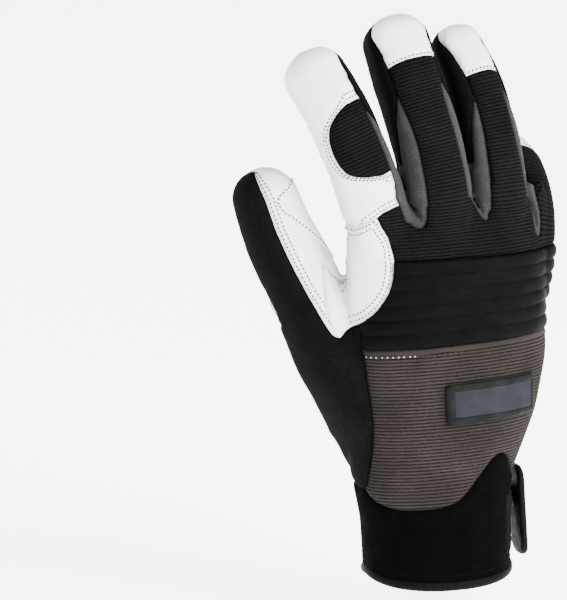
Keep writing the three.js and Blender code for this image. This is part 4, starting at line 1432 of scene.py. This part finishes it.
def make_panel(name, cloth):
    points, triangles = cloth["points"], cloth["triangles"]
    mesh = bpy.data.meshes.new(name + "_cloth")
    mesh.from_pydata((points * MM).tolist(), [], triangles.tolist())
    mesh.polygons.foreach_set("use_smooth", [True] * len(mesh.polygons))
    rib, across = rib_place(name, cloth)
    put_attribute(mesh, "edge_mm", cloth["edge"])
    put_attribute(mesh, "rib_mm", rib)
    put_attribute(mesh, "across_mm", across)
    if name == "grey_panel":
        put_attribute(mesh, "folded", 1 - step_up(-cloth["fields"]["knuckle_guard"], FOLD - 0.4, FOLD + 0.1))
    if FINISH_OF[name] is WHITE_LEATHER:
        put_attribute(mesh, "stitch_mm", distance_to_stitches(points))
    mesh.materials.append(FINISH_OF[name])
    made = bpy.data.objects.new(name + "_cloth", mesh)
    bpy.context.collection.objects.link(made)
    thickness = made.modifiers.new("thickness", "SOLIDIFY")
    thickness.thickness = cloth["lining"] * MM
    thickness.offset = -1
    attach(made, "root")
    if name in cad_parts:
        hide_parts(name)
    return made


panel_objects = {name: make_panel(name, cloth) for name, cloth in made_pieces.items()}
print(len(panel_objects), "panels,", sum(len(o.data.polygons) for o in panel_objects.values()), "faces")

# %% [markdown]
# ## The fleece lining
# A winter glove is lined with fleece, which shows inside the wrist. One sheet follows the whole form a
# little way inside the panels. It needs no detail, so a Decimate modifier thins it.

# %% Lining
LINING_DEPTH = 1.9
LINING_KEPT = 0.14  # share of the faces that stays
FAR_FROM_SEAM = 9.0  # given to pieces that have no seam of their own
lining_points, lining_normals, _, lining_faces = cut(whole_skin, "above_hem")[0]
lining = new_object("fleece_lining", lining_points - lining_normals * LINING_DEPTH, lining_faces.tolist())
finish_with(lining, BLACK_FLEECE)
put_attribute(lining.data, "edge_mm", np.full(len(lining_points), FAR_FROM_SEAM))
thinner = lining.modifiers.new("thinner", "DECIMATE")
thinner.ratio = LINING_KEPT
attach(lining, "root")
print("the lining lies", LINING_DEPTH, "mm inside")

# %% [markdown]
# ## The rubber plate
# A moulded plate is sewn to the grey panel. It has a raised frame with a line of stitches and a recessed
# field, which is left bare. It bends with the hand, so it is drawn flat and then laid on the hand's own
# curve.

# %% Lay a flat drawing on the back of the hand
def back_of_hand(x, z):
    """The y of the back of the hand at a place seen from the back."""
    middle_x, middle_y, half_width, half_depth, roundness = hand_at(z)
    inward = np.clip(1 - np.abs((x - middle_x) / half_width) ** roundness, 0.001, 1) ** (1 / roundness)
    return middle_y - half_depth * inward


PLATE_X, PLATE_Z, PLATE_TURN = 17.8, 81.5, math.radians(2)
PLATE_WIDTH, PLATE_HEIGHT, PLATE_CORNER, PLATE_BODY = 42.5, 17, 1.5, 0.9
FRAME_FOOT, FRAME_TOP, FIELD_DROP, FIELD_CORNER = 0.25, 1.45, 0.55, 0.7
FRAME = {"left": 2.4, "right": 1.2, "top": 1.8, "bottom": 1.7}  # width of each side


def inside_round_box(u, v, half_u, half_v, radius):
    """Distance to the edge of a rectangle with round corners, positive inside it."""
    reach_u, reach_v = np.abs(u) - half_u + radius, np.abs(v) - half_v + radius
    beyond = np.hypot(np.maximum(reach_u, 0), np.maximum(reach_v, 0))
    return radius - beyond - np.minimum(np.maximum(reach_u, reach_v), 0)


def laid(u, v, height):
    """Points of the flat drawing at a height over the back of the hand, and the way out there."""
    x = PLATE_X + u * math.cos(PLATE_TURN) - v * math.sin(PLATE_TURN)
    z = PLATE_Z + u * math.sin(PLATE_TURN) + v * math.cos(PLATE_TURN)
    slope = back_of_hand(x + 0.5, z) - back_of_hand(x - 0.5, z)
    out = unit(np.column_stack([slope, -np.ones(len(x)), np.zeros(len(x))]))
    return np.column_stack([x, back_of_hand(x, z), z]) + out * np.asarray(height)[:, None], out


STEP = 0.3
u_line, v_line = np.arange(-22, 22.01, STEP), np.arange(-9.3, 9.31, STEP)
u, v = [values.ravel() for values in np.meshgrid(u_line, v_line)]
grid = np.arange(len(u)).reshape(len(v_line), len(u_line))
squares = np.stack([grid[:-1, :-1], grid[:-1, 1:], grid[1:, 1:], grid[1:, :-1]], axis=-1).reshape(-1, 4)
plate_triangles = np.vstack([squares[:, [0, 1, 2]], squares[:, [0, 2, 3]]])
to_edge = inside_round_box(u, v, PLATE_WIDTH / 2, PLATE_HEIGHT / 2, PLATE_CORNER)
field_u, field_v = (FRAME["left"] - FRAME["right"]) / 2, (FRAME["bottom"] - FRAME["top"]) / 2
half_field_u = (PLATE_WIDTH - FRAME["left"] - FRAME["right"]) / 2
half_field_v = (PLATE_HEIGHT - FRAME["top"] - FRAME["bottom"]) / 2
to_field = inside_round_box(u - field_u, v - field_v, half_field_u, half_field_v, FIELD_CORNER)
plate_data = np.zeros((len(u), len(COLUMN)))
plate_data[:, COLUMN["upper_layer"]] = to_edge
flat = np.column_stack([u, v, to_field])
plate_cloth, _ = cut((flat, np.tile([0.0, 0, 1], (len(u), 1)), plate_data, plate_triangles), "upper_layer")
flat_points, _, plate_data, plate_triangles = plate_cloth
edge = plate_data[:, COLUMN["upper_layer"]]
height = FRAME_FOOT + (FRAME_TOP - FRAME_FOOT) * np.sqrt(step_up(edge, -0.05, 0.75))
height = height - FIELD_DROP * step_up(flat_points[:, 2], -0.1, 0.3)
plate_points, _ = laid(flat_points[:, 0], flat_points[:, 1], height)
plate_mesh = bpy.data.meshes.new("plate_rubber")
plate_mesh.from_pydata((plate_points * MM).tolist(), [], plate_triangles[:, ::-1].tolist())
for material in (FRAME_RUBBER, GREY_RUBBER):
    plate_mesh.materials.append(material)
in_field = flat_points[plate_triangles, 2].mean(axis=1) > 0.1
plate_mesh.polygons.foreach_set("material_index", in_field.astype(int))
plate_mesh.polygons.foreach_set("use_smooth", [True] * len(plate_mesh.polygons))
plate_object = bpy.data.objects.new("plate_rubber", plate_mesh)
bpy.context.collection.objects.link(plate_object)
plate_body = plate_object.modifiers.new("thickness", "SOLIDIFY")
plate_body.thickness, plate_body.offset = PLATE_BODY * MM, -1
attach(plate_object, "root")
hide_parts("plate")
print("the plate stands", FRAME_TOP, "mm off the hand")

# %% Sew the plate on
PLATE_STITCH, FIRST_STITCH, HALF_STITCH, THREAD_THICK, THREAD_SINK = 1.7, 0.8, 0.6, 0.24, 0.05
ROW_FROM_SIDES, ROW_FROM_ENDS = 1.35, 1.25
plate_corners = np.array([(-1, -1), (1, -1), (1, 1), (-1, 1)])
perimeter = []
for start, end in zip(plate_corners, np.roll(plate_corners, -1, axis=0)):
    perimeter += [start * (1 - share) + end * share for share in np.linspace(0, 1, 60, endpoint=False)]
perimeter = np.array(perimeter) * [PLATE_WIDTH / 2 - ROW_FROM_SIDES, PLATE_HEIGHT / 2 - ROW_FROM_ENDS]
lengths = np.concatenate([[0], np.cumsum(np.linalg.norm(np.diff(perimeter, axis=0), axis=1))])
places = np.arange(FIRST_STITCH, lengths[-1], PLATE_STITCH)
row = lambda along: [np.interp(along, lengths, column) for column in perimeter.T]
spot, out = laid(*row(places), np.full(len(places), FRAME_TOP))
spot_after, _ = laid(*row(places + 0.3), np.full(len(places), FRAME_TOP))
plate_row = [(spot, unit(spot_after - spot), out, HALF_STITCH)]
row_points, row_faces = capsules(plate_row, THREAD_THICK, THREAD_SINK)
plate_threads = new_object("plate_threads", row_points, row_faces)
plate_threads.data.materials.append(BLACK_THREAD)
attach(plate_threads, "root")
print(len(places), "stitches round the plate")

# %% [markdown]
# ## The bound hem
# A satin tape is folded over the cuff's raw edge and sewn through. Its section is a rounded U, swept
# round the wrist along the hem's own wavy line.

# %% Hem binding
TAPE = [(-2.5, 4.3), (-3.0, 3.6), (-3.05, 1.4), (-2.4, 0.3), (-1.1, -0.1), (0.1, 0.3),
        (0.8, 1.2), (0.95, 2.2), (0.8, 3.2), (0.45, 3.75), (0.3, 4.1), (-0.4, 4.3)]  # out, and up
TAPE_STEPS = 240
PUCKERS, PUCKER_DEPTH = 62, 0.10
_, WRIST_MIDDLE, _, WRIST_HALF, WRIST_DEPTH, WRIST_ROUNDNESS = HAND_SECTIONS[0]
MEAN_WRIST_RADIUS = 29
angles = np.linspace(0, 2 * math.pi, TAPE_STEPS, endpoint=False)
tape_points = []
for angle in angles:
    power = 2 / WRIST_ROUNDNESS
    x = signed_power(math.sin(angle), power) * WRIST_HALF
    y = -signed_power(math.cos(angle), power) * WRIST_DEPTH
    slopes = [math.copysign(abs(part / half) ** (WRIST_ROUNDNESS - 1) / half, part)
              for part, half in ((x, WRIST_HALF), (y, WRIST_DEPTH))]
    way_out = np.array(slopes) / np.linalg.norm(slopes)
    x += WRIST_MIDDLE
    low = float(hem_z(x, y))
    for out, up in TAPE:
        pucker = PUCKER_DEPTH * math.sin(angle * PUCKERS) * (0 < up < 3)
        tape_points.append([x + way_out[0] * (out + pucker), y + way_out[1] * (out + pucker), low + up])
size = len(TAPE)
tape_faces = []
for step in range(TAPE_STEPS):
    here, after = step * size, (step + 1) % TAPE_STEPS * size
    tape_faces += [(here + k, after + k, after + (k + 1) % size, here + (k + 1) % size) for k in range(size)]
tape = new_object("hem_tape", tape_points, tape_faces)
finish_with(tape, BINDING_TAPE)
put_attribute(tape.data, "edge_mm", np.full(len(tape_points), FAR_FROM_SEAM))
put_attribute(tape.data, "across_mm", np.repeat(angles * MEAN_WRIST_RADIUS, size))
smoother = tape.modifiers.new("rounder", "SUBSURF")
smoother.levels = smoother.render_levels = 1
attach(tape, "root")
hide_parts("hem_binding")
print("the tape is", TAPE[0][1], "mm high")

# %% [markdown]
# ## The strap's tab
# The strap ends in a moulded rubber tab that is easy to grip with the other glove on. It has a rim and a
# sunken face, and it stands a little off the cuff. Rings of a rounded rectangle, each inset and shifted,
# give its section.

# %% Rubber tab and the strap's free end
TAB_X, TAB_Y, TAB_Z, TAB_LEAN = 39.6, -1.5, 24.8, math.radians(-2.9)
TAB_WIDTH, TAB_HEIGHT, TAB_CORNER, LEAST_CORNER, TAB_BOW = 15, 41.4, 6, 0.8, 0.9
TAB_SECTION = [(3.0, 0.75), (2.1, 0.8), (1.6, 1.35), (0.9, 1.42), (0.35, 1.2), (0.0, 0.55),
               (0.0, -0.55), (0.35, -1.2), (0.9, -1.42), (3.0, -1.42)]  # inset from the outline, and out


def round_box_ring(width, height, radius, count=12):
    ring = []
    for across, up, start in ((1, -1, -90), (1, 1, 0), (-1, 1, 90), (-1, -1, 180)):
        for angle in np.radians(np.linspace(start, start + 90, count)):
            ring.append((across * (width / 2 - radius) + radius * math.cos(angle),
                         up * (height / 2 - radius) + radius * math.sin(angle)))
    return np.array(ring)


tab_rings = []
for inset, out in TAB_SECTION:
    corner = max(TAB_CORNER - inset, LEAST_CORNER)
    ring = round_box_ring(TAB_WIDTH - 2 * inset, TAB_HEIGHT - 2 * inset, corner)
    bow = TAB_BOW * (ring[:, 1] / (TAB_HEIGHT / 2)) ** 2 * (ring[:, 1] < 0)
    x = out + bow
    turned_x = x * math.cos(TAB_LEAN) + ring[:, 1] * math.sin(TAB_LEAN)
    turned_z = -x * math.sin(TAB_LEAN) + ring[:, 1] * math.cos(TAB_LEAN)
    tab_rings.append(np.column_stack([TAB_X + turned_x, TAB_Y + ring[:, 0], TAB_Z + turned_z]))
tab = new_object("rubber_tab", *skin(tab_rings))
finish_with(tab, BLACK_RUBBER)
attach(tab, "root")
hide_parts("strap_tab")

STRAP_END_PATH = [(30.2, 12.5), (32.6, 9.6), (34.6, 7.2), (36.2, 4.6), (37.1, 1.8)]  # seen from above
STRAP_END_THICK, STRAP_END_WIDE, STRAP_END_Z = 2.0, 24, 23
strap_path, _ = catmull_rom(STRAP_END_PATH, 6)
strap_way = unit(np.gradient(strap_path, axis=0))
strap_rings = []
for (x, y), (way_x, way_y) in zip(strap_path, strap_way):
    ring = round_box_ring(STRAP_END_THICK, STRAP_END_WIDE, 0.9, 5)
    thick, tall = ring.T
    strap_rings.append(np.column_stack([x + thick * way_y, y - thick * way_x, STRAP_END_Z + tall]))
strap_end = new_object("strap_end", *skin(strap_rings))
finish_with(strap_end, NEOPRENE)
put_attribute(strap_end.data, "edge_mm", np.full(len(strap_end.data.vertices), FAR_FROM_SEAM))
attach(strap_end, "root")
print("the tab's middle stands", round(TAB_X - WRIST_MIDDLE - WRIST_HALF, 1), "mm out from the wrist's side")

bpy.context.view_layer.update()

# %% [markdown]
# ## The studio
# The photograph has soft light on a plain white ground, brighter from the upper right. A round table of
# paper with a rim gives the ground from every side; the paper glows, a painted light that is strongest
# behind the glove. A broad light stands above and to the right, and two weak ones fill the thumb's side
# and the palm.

# %% Floor, backdrop and light
FLOOR_Z = -19
STAGE_SECTION = [(3300, 0), (4100, 0), (4400, 60), (4560, 220), (4600, 500), (4600, 1600)]  # radius, height
STAGE_SIDES = 96
stage_points = [np.array([0, 0, FLOOR_Z])]
for radius, height in STAGE_SECTION:
    for turn in np.linspace(0, 2 * math.pi, STAGE_SIDES, endpoint=False):
        stage_points.append(np.array([radius * math.cos(turn), radius * math.sin(turn), FLOOR_Z + height]))
stage_faces = [(0, 1 + k, 1 + (k + 1) % STAGE_SIDES) for k in range(STAGE_SIDES)]
for ring in range(len(STAGE_SECTION) - 1):
    inner, outer = 1 + ring * STAGE_SIDES, 1 + (ring + 1) * STAGE_SIDES
    for k in range(STAGE_SIDES):
        after = (k + 1) % STAGE_SIDES
        stage_faces.append((inner + k, outer + k, outer + after, inner + after))
sweep = new_object("paper_sweep", stage_points, stage_faces)

PAPER_BASE = 0.9
GLOW_FRONT, GLOW_BACK = 1.2, 4.9
GLOW_FROM, GLOW_TO = -1.6, 0.4  # metres along the view from the glove, where the glow rises
paper = bpy.data.materials.new("glowing_paper")
paper.use_nodes = True
paper_nodes, paper_links = paper.node_tree.nodes, paper.node_tree.links
paper_inputs = paper_nodes["Principled BSDF"].inputs
paper_inputs["Base Color"].default_value = (PAPER_BASE, PAPER_BASE, PAPER_BASE, 1)
paper_inputs["Roughness"].default_value = 0.9
paper_inputs["Emission Color"].default_value = (1, 1, 1, 1)
place = paper_nodes.new("ShaderNodeTexCoord")
along_view = paper_nodes.new("ShaderNodeVectorMath")
along_view.operation = "DOT_PRODUCT"
along_view.inputs[1].default_value = ahead_flat
glow = paper_nodes.new("ShaderNodeMapRange")
glow.interpolation_type = "SMOOTHSTEP"
glow_range = {"From Min": GLOW_FROM, "From Max": GLOW_TO, "To Min": GLOW_FRONT, "To Max": GLOW_BACK}
for socket, value in glow_range.items():
    glow.inputs[socket].default_value = value
paper_links.new(place.outputs["Object"], along_view.inputs[0])
paper_links.new(along_view.outputs["Value"], glow.inputs["Value"])
# painted light: the paper glows, weakest in front of the glove and strongest behind it
paper_links.new(glow.outputs["Result"], paper_inputs["Emission Strength"])
finish_with(sweep, paper)

AIR_LIGHT = 0.3
sky = bpy.data.worlds.new("studio_air")
sky.use_nodes = True
sky.node_tree.nodes["Background"].inputs["Color"].default_value = (1, 1, 1, 1)
sky.node_tree.nodes["Background"].inputs["Strength"].default_value = AIR_LIGHT
bpy.context.scene.world = sky
LIGHTS_AIM_AT = Vector((0, 0, 0.12))


def softbox(name, place, size, watts):
    light_data = bpy.data.lights.new(name, "AREA")
    light_data.shape = "RECTANGLE"
    light_data.size, light_data.size_y = size[0] * MM, size[1] * MM
    light_data.energy = watts
    light = bpy.data.objects.new(name, light_data)
    light.location = Vector(np.array(place) * MM)
    light.rotation_euler = (LIGHTS_AIM_AT - light.location).to_track_quat("-Z", "Y").to_euler()
    bpy.context.collection.objects.link(light)


SKYWARD = np.array([0, 0, 1])
softbox("key_light", right * 850 - ahead_flat * 560 + SKYWARD * 900, (600, 600), 62)
softbox("thumb_side_light", -right * 900 - ahead_flat * 500 + SKYWARD * 500, (600, 900), 2)
softbox("palm_side_light", -right * 700 + ahead_flat * 900 + SKYWARD * 700, (500, 500), 9)
print("lit by", len(bpy.data.lights), "softboxes and the air")
